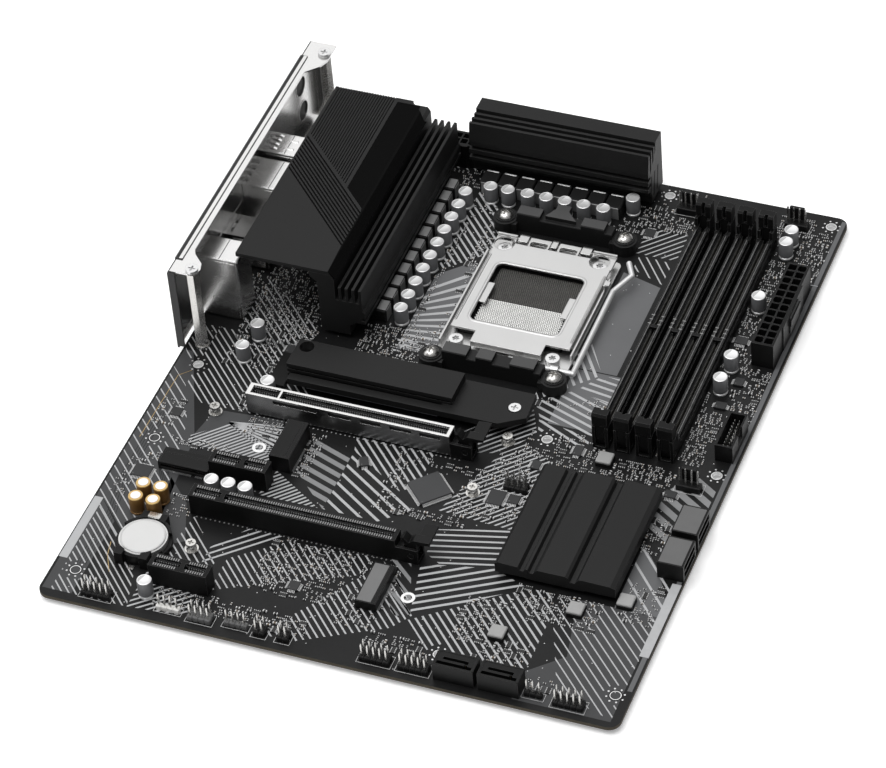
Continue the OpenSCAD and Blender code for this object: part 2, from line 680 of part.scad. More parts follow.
module m2_heatsink() {
  color(c_char) on_board() difference() {
    union() {
      // finned block with side grooves
      sweep_x(51.2, 124.4, [
        [141.2, 3.2], [156.4, 3.2], [156.4, 12], [140.8, 12], [140.8, 10],
        [142.6, 10], [142.6, 9], [141, 9], [141, 7.4], [142.6, 7.4], [142.6, 6.4],
        [141.2, 6.4]
      ]);
      // lower plate with one clipped corner
      translate([0, 0, 4.8]) linear_extrude(3) polygon([
        [53, 136.4], [145.6, 136.4], [155.8, 142.8], [155.2, 157], [120, 157], [120, 140], [53, 140]
      ]);
      translate([53, 138, 4.8]) cube([70, 5, 1.4]);
    }
    translate(m2_rear) cylinder(h = 20, r = 1.3);
    translate([m2_rear[0], m2_rear[1], 5]) cylinder(h = 20, r = 3.2);
    translate(m2_front) cylinder(h = 20, r = 1.3);
    translate([m2_front[0], m2_front[1], 6.9]) cylinder(h = 20, r = 2.9);
  }
}

// screw with its head's underside at height z
module pan_screw(z, head_h, head_r, shank, shank_r) {
  difference() {
    union() {
      translate([0, 0, z]) cylinder(h = head_h, r = head_r);
      translate([0, 0, z - shank]) cylinder(h = shank + 0.1, r = shank_r);
    }
    translate([0, 0, z + head_h]) cross(1.5, 0.7);
  }
}

module m2_heatsink_screws() {
  color(c_steel) on_board() {
    translate(m2_front) pan_screw(6.9, 1.2, 2.6, 2.9, 1.1);
    translate(m2_rear) pan_screw(5, 1.6, 2.6, 2.4, 1.1);
  }
}

// card edge socket, h high; the card leaves it towards -X
module m2_socket(h) {
  difference() {
    box([-4.4, -11, 0], [4.4, 11, h]);
    box([-6, -10, h - 2.6], [-1.4, 10, h - 1.3]);
  }
}

module m2_sockets() {
  color(c_black) on_board() {
    translate([67.6, 102.8, 0]) m2_socket(8.4);
    translate([129.2, 41.2, 0]) m2_socket(4.2);
    translate([30, 83.6, 0]) rotate(90) m2_socket(4.2);
    box([43.2, 136.8, 0], [50.6, 156, 2.6]);
  }
}

module m2_standoffs() {
  color(c_nick) on_board() {
    for (p = m2_stand) translate(p) {
      cylinder(h = 0.6, r = 2.9);
      cylinder(h = 2.6, r = 2.4, $fn = 6);
      difference() {
        cylinder(h = 4, r = 2.1);
        translate([0, 0, 4]) cross(1.2, 0.7);
      }
    }
    for (q = [[m2_front, 4.8], [m2_rear, 3.2]]) translate(q[0]) difference() {
      cylinder(h = q[1], r = 2.2);
      translate([0, 0, 1]) cylinder(h = 9, r = 1.3);
    }
  }
}

/* ---------- chipset ---------- */

module chipset() {
  color(c_black) on_board() {
    box([184, 80, 0], [208, 104, 0.9]);
    box([190, 86, 0.9], [202, 98, 1.2]);
  }
}

module chipset_heatsink() {
  cx = 171.5;
  color(c_char) on_board() difference() {
    sweep_y(62.6, 120.2, [
      [cx, 2.6], [cx + 13, 2.6], [cx + 13, 2.2], [cx + 37, 2.2], [cx + 37, 2.6], [cx + 50.2, 2.6],
      [cx + 50.2, 7.2], [cx + 48, 8], [cx + 37, 8.3], [cx + 35, 8], [cx + 33.4, 5.6],
      [cx + 31.4, 5.6], [cx + 30.6, 7.6], [cx + 29.4, 8.2], [cx + 18, 8.2], [cx + 17, 7.6],
      [cx + 16, 5.8], [cx + 14.6, 5.8], [cx + 13.8, 7.4], [cx + 12.8, 7.4], [cx + 12, 6],
      [cx + 10.6, 6], [cx + 9.6, 7.6], [cx + 1.4, 8], [cx, 7]
    ]);
    for (p = [[175, 66.4], [218, 116.6]]) translate([p[0], p[1], -1]) cylinder(h = 6, r = 1.5);
  }
}

/* ---------- rear panel ---------- */

module io_shield() {
  color(c_chrome) on_board() difference() {
    union() {
      box([-sh_x - sh_t, sh_y0 + 0.8, 0.2], [-sh_x, sh_y1 - 0.7, sh_h]);
      // top lip and the two wide corners
      translate([0, 0, sh_h - 0.6]) linear_extrude(0.6) polygon([
        [-sh_x - sh_t, 149.7], [6.4, 149.7], [9.8, 151.4], [10.4, 154], [9.4, 157.6], [4.6, 162.4],
        [3.3, 165], [3.3, 286], [8.4, 291.2], [10.1, 295.6], [10.1, sh_y1 - 0.7], [-sh_x - sh_t, sh_y1 - 0.7]
      ]);
      // upper end wall
      box([-sh_x - eps, sh_y1 - 0.7 - sh_t, 0.3], [3, sh_y1 - 0.7, sh_h - 0.6 + eps]);
    }
    for (c = sh_cut) box([-9, c[0], c[2]], [0, c[1], c[3]]);
    for (z = ant_z) translate([-9, ant_y, z]) rotate([0, 90, 0]) cylinder(h = 9, r = ant_r, $fn = 48);
    for (p = posts) translate([p[0], p[1], sh_h - 3]) cylinder(h = 6, r = 1.5);
  }
}

// black painted panel that covers the outside of the shield
module io_shield_panel() {
  x1 = -sh_x - sh_t;
  x0 = x1 - pan_t;
  color(c_black) on_board() difference() {
    union() {
      box([x0, sh_y0, -0.6], [x1, sh_y1, sh_h - 0.6]);
      // rim folded over the shield's top lip
      box([x0, 157.6, sh_h - 0.6 - eps], [x1, 296, sh_h + 0.5]);
      box([x0, 157.6, sh_h], [0.7, 296, sh_h + 0.5]);
      // end walls
      box([x0, sh_y0, 0.3], [0.6, sh_y0 + 0.7, sh_h - 0.6]);
      box([x0, sh_y1 - 0.6, 0.3], [0.6, sh_y1, sh_h - 0.6]);
    }
    for (c = sh_cut) box([-9, c[0], c[2]], [0, c[1], c[3]]);
  }
}

module io_shield_posts() {
  color(c_nick) on_board() for (p = posts) translate(p) difference() {
    union() {
      cylinder(h = 1.2, r = 3.1);
      cylinder(h = sh_h - 0.7, r = 2.9, $fn = 6);
    }
    translate([0, 0, sh_h - 8]) cylinder(h = 9, r = 1.3);
  }
}

module io_shield_screws() {
  color(c_steel) on_board() for (p = posts) translate(p) pan_screw(sh_h, 1.3, 2.7, 5, 1.15);
}

module audio_jack_stack() {
  color(c_chrome) on_board() {
    difference() {
      union() {
        box([-1.3, 171.4, 0.6], [18, 184.8, 32.6]);
        box([-nose_x, 172.2, 1.3], [-1.2, 184, 31.9]);
      }
      for (z = jack_z) translate([-4, 178.1, z]) rotate([0, 90, 0]) cylinder(h = 18, r = 3.9);
      box([17.2, 172.4, 2], [19, 183.8, 31]);
    }
    for (i = [0:2]) translate([-nose_x, 178.1, jack_z[i]]) rotate([0, 90, 0]) difference() {
      cylinder(h = nose_x + 14 + eps, r = 3.9);
      translate([0, 0, -1]) cylinder(h = 1 + jack_l[i], r = 1.8);
    }
    for (y = [173, 183]) box([14, y - 0.3, 0], [15, y + 0.3, 0.6 + eps]);
  }
}

// one USB opening with its tongue, facing the rear; z is its centre
module usb_bay(y, z) {
  difference() {
    box([-6, y - 6.1, z - 2.5], [11, y + 6.1, z + 2.5]);
    box([-nose_x + 1.5, y - 5.4, z + 0.3], [11.5, y + 5.4, z + 1.9]);
  }
}

module usb_stack_low() {
  color(c_chrome) on_board() difference() {
    union() {
      box([-1.3, 203.4, 0.4], [16.4, 216.8, 17]);
      box([-nose_x, 204.4, 1.2], [-1.2, 214.2, 16.2]);
      for (y = [205, 215]) box([12, y - 0.4, 0], [13, y + 0.4, 0.6]);
    }
    for (z = [4.6, 12.6]) intersection() {
      usb_bay(210.1, z);
      box([-6, 204.8, 0], [12, 213.8, 17]);
    }
  }
}

module network_usb_stack() {
  color(c_chrome) on_board() difference() {
    union() {
      box([-1.3, 223, 0.4], [19.6, 241.6, 29]);
      box([-nose_x, 224.6, 1.4], [-1.2, 240, 28.2]);
      for (y = [225, 239]) box([14, y - 0.4, 0], [15, y + 0.4, 0.6]);
    }
    for (z = [4.4, 10.8]) usb_bay(232.3, z);
    box([-6, 226.4, 15.6], [12, 238.2, 23.8]);
    box([-6, 229.3, 23.6], [9, 235.3, 26.6]);
  }
}

module usb_stack_tall() {
  color(c_chrome) on_board() difference() {
    union() {
      box([-1.3, 243.6, 0.4], [17.6, 256.8, 31]);
      box([-nose_x, 244.3, 1.2], [-1.2, 256, 30.2]);
      for (y = [245.4, 255]) box([13, y - 0.4, 0], [14, y + 0.4, 0.6]);
    }
    for (z = [4.4, 11.8, 19.2, 26.6]) intersection() {
      usb_bay(250.2, z);
      box([-6, 244.8, 0], [12, 255.6, 31]);
    }
    // springs pressed out of the top sheet
    for (y = [246.4, 249.2, 252, 254.8]) box([1, y - 0.4, 30.7], [6, y + 0.4, 32]);
  }
}

module video_port() {
  color(c_chrome) on_board() difference() {
    union() {
      box([-1.3, 262.4, 0.4], [10.4, 278, 8.4]);
      box([-nose_x, 262.8, 1.8], [-1.2, 277.6, 7.8]);
    }
    box([-6, 263.2, 2.4], [9, 277.2, 7]);
  }
}

/* ---------- power and data sockets ---------- */

// block of square cells, nx by ny, opening upwards
module power_block(nx, ny, h) {
  p = 4.2;
  w = nx * p + 1.2;
  l = ny * p + 1.2;
  difference() {
    cube([w, l, h]);
    for (i = [0:nx - 1], j = [0:ny - 1])
      translate([0.6 + i * p + 0.35, 0.6 + j * p + 0.35, 3]) cube([p - 0.7, p - 0.7, h]);
  }
  for (i = [0:nx - 1], j = [0:ny - 1])
    translate([0.6 + (i + 0.5) * p - 0.5, 0.6 + (j + 0.5) * p - 0.5, 2.9]) cube([1, 1, 7]);
}

module main_power_socket() {
  color(c_black) on_board() {
    translate([231, 206.8, 0]) power_block(2, 12, 12.8);
    box([240.5, 219, 0], [241.2, 246, 12.8]);
    box([241.1, 226, 7.4], [242.4, 239, 10.4]);
  }
}

module cpu_power_socket() {
  color(c_black) on_board() {
    translate([63.4, 291.6, 0]) cpu_block();
    box([68, 290.8, 0], [75, 291.7, 12.4]);
  }
}

module cpu_block() {
  p = 3.6;
  difference() {
    cube([4 * p, 2 * p + 1.6, 12.4]);
    for (i = [0:3], j = [0:1])
      translate([0.35 + i * p, 0.8 + j * p + 0.35, 3]) cube([p - 0.7, p - 0.7, 12]);
  }
}

module usb3_header() {
  color(c_black) on_board() difference() {
    box([234, 149.2, 0], [241.6, 169.6, 8.8]);
    box([234.8, 150, 1.6], [240.8, 168.8, 12]);
    box([240, 156.6, 3], [243, 162, 12]);
  }
}

// angled drive socket opening to the front
module side_sata(y) {
  difference() {
    box([232.6, y - 7.6, 0], [243.6, y + 7.6, 8.6]);
    box([236, y - 6.4, 1.3], [250, y + 6.4, 4.2]);
    box([236, y - 6.4, 5], [250, y + 6.4, 7.6]);
  }
}

module side_sata_ports() {
  color(c_black) on_board() {
    side_sata(106.4);
    side_sata(88.2);
  }
}

module bottom_sata_ports() {
  color(c_black) on_board() for (x = [176, 194.4]) difference() {
    box([x - 8.4, 3.6, 0], [x + 8.4, 11.8, 8.6]);
    box([x - 7.2, 4.7, 2], [x + 7.2, 6.3, 12]);
    box([x - 5.2, 7.4, 2], [x + 5.2, 8.8, 12]);
    box([x + 4, 5.8, 2], [x + 5.2, 8.8, 12]);
  }
}

/* ---------- pin headers ---------- */

module header_bases() {
  color(c_black) on_board() {
    for (q = hdr) box([q[0] - 1.2, q[1] - 1.2, 0],
      [q[0] + (q[2] - 1) * pp + 1.2, q[1] + (q[3] - 1) * pp + 1.2, 2.4]);
    for (q = fan) {
      box([q[0] - 1.3, q[1] - 2, 0], [q[0] + (q[2] - 1) * pp + 1.3, q[1] + 2, 3]);
      box([q[0] + 0.2, q[1] + 1.6, 0], [q[0] + (q[2] - 1.6) * pp, q[1] + 3, 9.4]);
    }
  }
}

module pin(x, y, h) {
  translate([x - 0.32, y - 0.32, 2.4]) cube([0.64, 0.64, h]);
}

module header_pins() {
  color(c_nick) on_board() {
    for (q = hdr, i = [0:q[2] - 1], j = [0:q[3] - 1])
      pin(q[0] + i * pp, q[1] + j * pp, 6);
    for (q = fan, i = [0:q[2] - 1])
      translate([0, 0, 0.6]) pin(q[0] + i * pp, q[1], 8);
    for (i = [0:1], j = [0:8]) translate([0, 0, -0.8]) pin(236.8 + i * 2, 151.8 + j * 1.9, 5.4);
  }
}

/* ---------- battery ---------- */

module battery_holder() {
  color(c_black) on_board() translate([cell[0], cell[1], 0]) difference() {
    union() {
      cylinder(h = 1.6, r = 11.6);
      difference() {
        union() {
          cylinder(h = 4.6, r = 11.6);
          box([-5.4, 8, 0], [5.4, 13.6, 5]);
          for (a = [-1, 1]) box([a * 5.4 - 1.8, -13, 0], [a * 5.4 + 1.8, -8, 6.2]);
        }
        translate([0, 0, 1.6]) cylinder(h = 9, r = 10.4);
        box([-14, -5, 2.4], [14, 5, 9]);
      }
    }
    translate([0, 0, -1]) cylinder(h = 2, r = 4);
  }
}

module coin_cell() {
  color(c_white) on_board() translate([cell[0], cell[1], 1.8]) {
    cylinder(h = 2.7, r = 10, $fn = 64);
    cylinder(h = 3.2, r = 9.2, $fn = 64);
  }
}

/* ---------- chips ---------- */

module chips() {
  color(c_char) on_board() for (q = ics)
    translate([q[0], q[1], 0]) rotate(q[5]) translate([-q[2] / 2, -q[3] / 2, 0]) cube([q[2], q[3], q[4]]);
}

/* ---------- underside ---------- */

module solder_tails() {
  color(c_nick) on_board() for (q = tails, i = [0:q[2] - 1], j = [0:q[3] - 1])
    translate([q[0] + i * q[4], q[1] + j * q[4], -pcb_t - tail_h]) cylinder(h = tail_h, r = tail_r);
}

pcb();
socket_backplate();
socket_body();
socket_contacts();
socket_frame();
load_plate();
load_lever();
socket_screws();
cooler_bracket_top();
cooler_bracket_bottom();
cooler_bracket_screws();
power_stages();
thermal_pads();
rear_vrm_heatsink();
rear_heatsink_cover();
top_vrm_heatsink();
chokes();
polymer_capacitors();
audio_capacitors();
dimm_slots();
dimm_latch_top_1();
dimm_latch_top_2();
dimm_latch_top_3();
dimm_latch_top_4();
dimm_latch_bottom_1();
dimm_latch_bottom_2();
dimm_latch_bottom_3();
dimm_latch_bottom_4();
graphics_slot();
graphics_slot_armour();
graphics_slot_latch();
lower_x16_slot();
lower_slot_latch();
short_slots();
m2_heatsink();
m2_heatsink_screws();
m2_sockets();
m2_standoffs();
chipset();
chipset_heatsink();
io_shield();
io_shield_panel();
io_shield_posts();
io_shield_screws();
audio_jack_stack();
usb_stack_low();
network_usb_stack();
usb_stack_tall();
video_port();
main_power_socket();
cpu_power_socket();
usb3_header();
side_sata_ports();
bottom_sata_ports();
header_bases();
header_pins();
battery_holder();
coin_cell();
chips();
solder_tails();
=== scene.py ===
"""Finished looks of an ATX motherboard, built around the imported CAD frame."""

import random
from math import ceil, cos, radians, sin, sqrt, tan, tau

import bpy
from mathutils import Matrix, Vector


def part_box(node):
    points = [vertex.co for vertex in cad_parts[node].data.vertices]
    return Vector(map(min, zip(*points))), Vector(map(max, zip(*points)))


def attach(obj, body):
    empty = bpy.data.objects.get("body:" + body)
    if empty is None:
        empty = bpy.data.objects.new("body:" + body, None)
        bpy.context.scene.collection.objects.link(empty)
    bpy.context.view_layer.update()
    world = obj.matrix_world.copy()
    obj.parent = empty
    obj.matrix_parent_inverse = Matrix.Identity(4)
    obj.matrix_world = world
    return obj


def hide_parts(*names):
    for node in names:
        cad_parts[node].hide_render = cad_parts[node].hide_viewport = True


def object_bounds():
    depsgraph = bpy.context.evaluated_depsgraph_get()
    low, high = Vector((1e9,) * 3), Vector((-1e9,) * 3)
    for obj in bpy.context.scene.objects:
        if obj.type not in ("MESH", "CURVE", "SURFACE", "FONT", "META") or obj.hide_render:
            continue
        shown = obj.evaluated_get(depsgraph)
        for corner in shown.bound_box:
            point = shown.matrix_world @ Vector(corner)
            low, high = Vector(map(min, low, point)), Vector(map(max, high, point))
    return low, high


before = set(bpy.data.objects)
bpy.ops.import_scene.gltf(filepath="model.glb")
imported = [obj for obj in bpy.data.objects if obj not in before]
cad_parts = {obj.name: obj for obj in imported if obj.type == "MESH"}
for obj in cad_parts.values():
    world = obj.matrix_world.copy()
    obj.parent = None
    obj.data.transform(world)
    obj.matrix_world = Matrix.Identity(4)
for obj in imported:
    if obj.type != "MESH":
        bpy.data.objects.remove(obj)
cad_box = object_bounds()

MM = 0.001
BOARD_LO, BOARD_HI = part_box("pcb")
BOARD_W = (BOARD_HI.x - BOARD_LO.x) / MM
BOARD_L = (BOARD_HI.y - BOARD_LO.y) / MM
BOARD_T = (BOARD_HI.z - BOARD_LO.z) / MM


# ---- places
# Lengths are millimetres from the board's rear edge, bottom edge and top face, turned into metres by row().


def row(p):
    return (BOARD_LO.x + p[0] * MM, BOARD_LO.y + p[1] * MM, BOARD_HI.z + p[2] * MM)


def board(p):
    return Vector(((p[0] - BOARD_LO.x) / MM, (p[1] - BOARD_LO.y) / MM, (p[2] - BOARD_HI.z) / MM))


def node_box(node):
    """Lowest and highest corner of a CAD node, in board millimetres."""
    lo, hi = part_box(node)
    return board(lo), board(hi)


def islands(node, below=1e9):
    """The box of each separate solid of a CAD node, from its points lower than below."""
    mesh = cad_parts[node].data
    key, parent = {}, []

    def find(i):
        while parent[i] != i:
            parent[i] = parent[parent[i]]
            i = parent[i]
        return i

    ids = []
    for v in mesh.vertices:
        k = tuple(round(c * 2e5) for c in v.co)
        if k not in key:
            key[k] = len(parent)
            parent.append(key[k])
        ids.append(key[k])
    for poly in mesh.polygons:
        first = find(ids[poly.vertices[0]])
        for i in poly.vertices[1:]:
            parent[find(ids[i])] = first
    boxes = {}
    for v, i in zip(mesh.vertices, ids):
        p = board(v.co)
        if p.z > below:
            continue
        lo, hi = boxes.setdefault(find(i), (p.copy(), p.copy()))
        for a in range(3):
            lo[a] = min(lo[a], p[a])
            hi[a] = max(hi[a], p[a])
    return sorted(boxes.values(), key=lambda b: (round(b[0].x, 2), round(b[0].y, 2), round(b[0].z, 2)))


# ---- shapes


def middle(lo, hi):
    """The middle of a box, seen from above."""
    return (lo.x + hi.x) / 2, (lo.y + hi.y) / 2


def rect(x0, y0, x1, y1, c=0.0):
    """Corner points of a rectangle, with its corners cut by c."""
    if c <= 0:
        return [(x0, y0), (x1, y0), (x1, y1), (x0, y1)]
    return [(x0 + c, y0), (x1 - c, y0), (x1, y0 + c), (x1, y1 - c), (x1 - c, y1), (x0 + c, y1), (x0, y1 - c),
        (x0, y0 + c)]


def round_rect(cx, cy, w, l, r, n=5):
    """Points of a rectangle with round corners."""
    pts = []
    for k, (sx, sy) in enumerate(((1, -1), (1, 1), (-1, 1), (-1, -1))):
        for i in range(n + 1):
            a = radians(-90 + 90 * k + 90 * i / n)
            pts.append((cx + sx * (w / 2 - r) + r * cos(a), cy + sy * (l / 2 - r) + r * sin(a)))
    return pts


def circle(cx, cy, r, n=40):
    """Points of a circle."""
    return [(cx + r * cos(a), cy + r * sin(a)) for a in (tau * k / n for k in range(n))]


class Shape:
    """A mesh gathered from closed solids, in board millimetres."""

    def __init__(self):
        self.points, self.faces, self.marks = [], [], []
        self.place = None  # a matrix for solids drawn at an angle

    def loft(self, loops, mat=0, caps=True):
        """A closed solid through loops of equal length.

        mat is one index, or one for each step and, as the last, the end cap's.
        """
        n, base = len(loops[0]), len(self.points)
        mats = mat if isinstance(mat, (list, tuple)) else [mat] * len(loops)
        for loop in loops:
            for p in loop:
                self.points.append(tuple(self.place @ Vector(p)) if self.place else tuple(p))
        for k in range(len(loops) - 1):
            a, b = base + k * n, base + (k + 1) * n
            for i in range(n):
                j = (i + 1) % n
                self.faces.append((a + i, a + j, b + j, b + i))
                self.marks.append(mats[k])
        if caps:
            last = base + (len(loops) - 1) * n
            self.faces.append(tuple(base + n - 1 - i for i in range(n)))
            self.marks.append(mats[0])
            self.faces.append(tuple(last + i for i in range(n)))
            self.marks.append(mats[-1])

    def prism(self, outline, z0, z1, mat=0):
        self.loft([[(x, y, z0) for x, y in outline], [(x, y, z1) for x, y in outline]], mat)

    def block(self, a, b, c=0.0, mat=0):
        """A box between two opposite corners. c cuts its upright and upper edges."""
        (x0, x1), (y0, y1), (z0, z1) = (sorted(pair) for pair in zip(a, b))
        c = min(c, (x1 - x0) * 0.3, (y1 - y0) * 0.3, (z1 - z0) * 0.6)
        if c <= 0:
            self.prism(rect(x0, y0, x1, y1), z0, z1, mat)
            return
        low = rect(x0, y0, x1, y1, c)
        top = rect(x0 + c, y0 + c, x1 - c, y1 - c, c * 0.4)
        self.loft([[(x, y, z0) for x, y in low], [(x, y, z1 - c) for x, y in low],
            [(x, y, z1) for x, y in top]], mat)

    def slab(self, x, y, hx, hy, z0, z1, c=0.0, mat=0):
        """A box around (x, y) from its half width and half length."""
        self.block((x - hx, y - hy, z0), (x + hx, y + hy, z1), c, mat)

    def lathe(self, centre, profile, n=24, mat=0):
        """A solid turned about an upright axis from a profile of (radius, height) points."""
        cx, cy, cz = centre
        turn = [tau * i / n for i in range(n)]
        self.loft([[(cx + r * cos(a), cy + r * sin(a), cz + t) for a in turn] for r, t in profile], mat)

    def ring(self, outer, inner, z0, z1, mat=0):
        """A flat frame between two outlines with the same number of points."""
        loops = [[(x, y, z0) for x, y in outer], [(x, y, z1) for x, y in outer],
            [(x, y, z1) for x, y in inner], [(x, y, z0) for x, y in inner]]
        self.loft(loops + loops[:1], mat, caps=False)

    def tube(self, path, r, n=10, mat=0):
        """A round wire along a path."""
        loops = []
        for k, p in enumerate(path):
            d = Vector(path[min(k + 1, len(path) - 1)]) - Vector(path[max(k - 1, 0)])
            q = d.to_track_quat("Z", "Y")
            loops.append([tuple(Vector(p) + q @ Vector((r * cos(a), r * sin(a), 0)))
                for a in (tau * i / n for i in range(n))])
        self.loft(loops, mat)


def add_object(name, data):
    obj = bpy.data.objects.new(name, data)
    bpy.context.scene.collection.objects.link(obj)
    return obj


def piece(name, shape, mats, body="board", replaces=(), sharp=35):
    """Makes the object, with one look per mark from the names in mats, and ties it to its body."""
    mesh = bpy.data.meshes.new(name)
    mesh.from_pydata([row(p) for p in shape.points], [], shape.faces)
    mesh.polygons.foreach_set("material_index", shape.marks)
    mesh.polygons.foreach_set("use_smooth", [True] * len(mesh.polygons))
    mesh.set_sharp_from_angle(angle=radians(sharp))
    mesh.update()
    obj = add_object(name, mesh)
    for m in mats.split():
        mesh.materials.append(LOOKS[m])
    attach(obj, body)
    if replaces:
        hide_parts(*replaces)
    return obj


# ---- materials


class Nodes:
    """A short way to write a material's nodes."""

    def __init__(self, name):
        self.mat = bpy.data.materials.new(name)
        self.mat.use_nodes = True
        self.tree = self.mat.node_tree
        self.bsdf = next(n for n in self.tree.nodes if n.type == "BSDF_PRINCIPLED")
        self.coords = self.add("ShaderNodeTexCoord").outputs["Object"]

    def add(self, kind, **inputs):
        node = self.tree.nodes.new(kind)
        for key, value in inputs.items():
            self.put(node.inputs[key.replace("_", " ")], value)
        return node

    def put(self, socket, value):
        if isinstance(value, bpy.types.NodeSocket):
            self.tree.links.new(value, socket)
        else:
            socket.default_value = value

    def noise(self, scale, detail=3.0, rough=0.55, stretch=None):
        source = self.coords
        if stretch:
            source = self.add("ShaderNodeMapping", Vector=source, Scale=stretch).outputs[0]
        return self.add("ShaderNodeTexNoise", Vector=source, Scale=scale, Detail=detail,
            Roughness=rough).outputs[0]

    def math(self, op, a, b=0.0, clamp=False):
        node = self.tree.nodes.new("ShaderNodeMath")
        node.operation, node.use_clamp = op, clamp
        self.put(node.inputs[0], a)
        self.put(node.inputs[1], b)
        return node.outputs[0]

    def span(self, value, a0, a1, b0, b1):
        node = self.add("ShaderNodeMapRange")
        for socket, v in zip(node.inputs, (value, a0, a1, b0, b1)):
            self.put(socket, v)
        return node.outputs[0]

    def mix(self, share, a, b):
        node = self.tree.nodes.new("ShaderNodeMix")
        node.data_type = "RGBA"
        self.put(node.inputs[0], share)
        self.put(node.inputs[6], a)
        self.put(node.inputs[7], b)
        return node.outputs[2]

    def edges(self, radius, samples=4):
        """(share near an edge, rounded normal) from a bevel of that radius in millimetres."""
        bevel = self.add("ShaderNodeBevel", Radius=radius * MM)
        bevel.samples = samples
        geo = self.add("ShaderNodeNewGeometry")
        dot = self.tree.nodes.new("ShaderNodeVectorMath")
        dot.operation = "DOT_PRODUCT"
        self.put(dot.inputs[0], bevel.outputs[0])
        self.put(dot.inputs[1], geo.outputs["True Normal"])
        return self.span(dot.outputs["Value"], 0.995, 0.8, 0.0, 1.0), bevel.outputs[0]


def rgb(value, tint=(1, 1, 1)):
    return tuple(value * t for t in tint) + (1.0,)


LOOKS = {}


def look(name, base, rough, metal=0.0, spec=0.5, vary=0.1, uneven=0.06, patch=300, grain=3000, bump=0.1,
        depth=0.02, edge=None, glint=None, radius=0.18, stretch=None, smudge=0.0):
    """Makes a surface with patchy colour, fine grain, uneven gloss and painted light on its edges: near an edge
    the colour is mixed, in patches, toward the glint colour. This is a painted highlight where the glint is
    lighter than the base and painted shade where it is darker.

    base and glint are a colour or one grey value. The material is kept in LOOKS by its name.
    """
    n = Nodes(name)
    base = base if isinstance(base, tuple) else rgb(base)
    dark = tuple(c * (1 - vary) for c in base[:3]) + (1.0,)
    light = tuple(min(1.0, c * (1 + vary)) for c in base[:3]) + (1.0,)
    colour = n.mix(n.noise(patch, 4.0), dark, light)
    fine = n.noise(grain, 2.0, 0.6, stretch)
    normal = None
    if edge is not None:
        near, normal = n.edges(radius)
        # painted highlight: edges take the glint colour, more in some patches than in others
        painted_edge_light = n.math("MULTIPLY", near, n.span(n.noise(patch * 4, 3.0), 0.3, 0.65, edge * 0.45, edge), True)
        colour = n.mix(painted_edge_light, colour, rgb(glint))
    n.put(n.bsdf.inputs["Base Color"], colour)
    n.bsdf.inputs["Metallic"].default_value = metal
    n.bsdf.inputs["Specular IOR Level"].default_value = spec
    gloss = n.span(fine, 0.3, 0.7, rough - uneven, rough + uneven)
    if smudge:
        gloss = n.math("ADD", gloss, n.span(n.noise(patch * 0.6, 5.0), 0.45, 0.7, 0.0, smudge))
    n.put(n.bsdf.inputs["Roughness"], gloss)
    if bump:
        b = n.add("ShaderNodeBump", Strength=bump, Distance=depth * MM, Height=fine)
        if normal is not None:
            n.put(b.inputs["Normal"], normal)
        normal = b.outputs[0]
    if normal is not None:
        n.put(n.bsdf.inputs["Normal"], normal)
    LOOKS[name] = n.mat
    return n.mat


COOL = (0.985, 1.0, 1.03)
look("mask_black", rgb(0.006, COOL), 0.42, spec=0.22, vary=0.3, patch=55, grain=1400, bump=0.12, smudge=0.12)
look("mask_dim", rgb(0.055, COOL), 0.5, spec=0.25, vary=0.15, patch=45, grain=1600)
look("mask_grey", rgb(0.125, COOL), 0.5, spec=0.3, patch=45, grain=1600)
look("ink", rgb(0.46, (0.99, 1.0, 1.015)), 0.62, spec=0.3, grain=4000, bump=0.15)
look("ink_dim", rgb(0.24, (0.99, 1.0, 1.015)), 0.62, spec=0.3, grain=4000, bump=0.15)
look("ink_bright", 0.62, 0.6, spec=0.3, vary=0.08, grain=4000, bump=0.15)
look("laminate", (0.055, 0.046, 0.032, 1), 0.75, spec=0.2, vary=0.35, patch=400, grain=900, bump=0.4,
    stretch=(0.2, 0.2, 4))
look("black_plastic", 0.005, 0.46, spec=0.2, vary=0.2, patch=120, edge=0.85, glint=0.13, radius=0.16)
# a grey line on black slot plastic: painted highlight
look("ridge_plastic", 0.17, 0.5, spec=0.3, vary=0.2, patch=120)
# grey comb ribs on black slots: painted highlight
look("rib_plastic", 0.3, 0.5, spec=0.3, vary=0.2, patch=120, edge=1.0, glint=0.16, radius=0.15)
look("slot_plastic", 0.0045, 0.5, spec=0.18, vary=0.2, patch=120, edge=1.0, glint=0.2, radius=0.22)
# a lighter copy of the bracket plastic for its lit upward faces: painted highlight
look("bracket_top", 0.05, 0.45, spec=0.4, vary=0.15, patch=100, grain=2600, bump=0.14)
look("bracket_plastic", 0.009, 0.5, spec=0.25, vary=0.15, patch=100, grain=2600, bump=0.14, edge=0.8,
    glint=0.1, radius=0.2)
look("anodised", 0.012, 0.5, spec=0.2, vary=0.08, patch=60, grain=5200, bump=0.22, depth=0.03, edge=0.8,
    glint=0.11, radius=0.2)
look("strip_black", 0.002, 0.5, spec=0.03, patch=80, grain=2500, bump=0.03)
look("nickel_sheet", rgb(0.68, (1, 0.995, 0.985)), 0.24, metal=1.0, vary=0.05, uneven=0.03, patch=20,
    grain=2600, bump=0.015, edge=0.6, glint=0.85, radius=0.25, stretch=(1, 1, 10))
look("plate_steel", rgb(0.55, (1, 0.998, 0.99)), 0.34, metal=1.0, vary=0.06, uneven=0.05, patch=50,
    grain=1500, bump=0.07, edge=0.6, glint=0.9, radius=0.4, stretch=(1, 12, 1))
look("screw_steel", 0.68, 0.3, metal=1.0, patch=200, grain=2500, bump=0.05, edge=0.6, glint=0.9, radius=0.15)
look("lever_nickel", 0.72, 0.46, metal=0.6, vary=0.06, patch=150, grain=2500, bump=0.04)
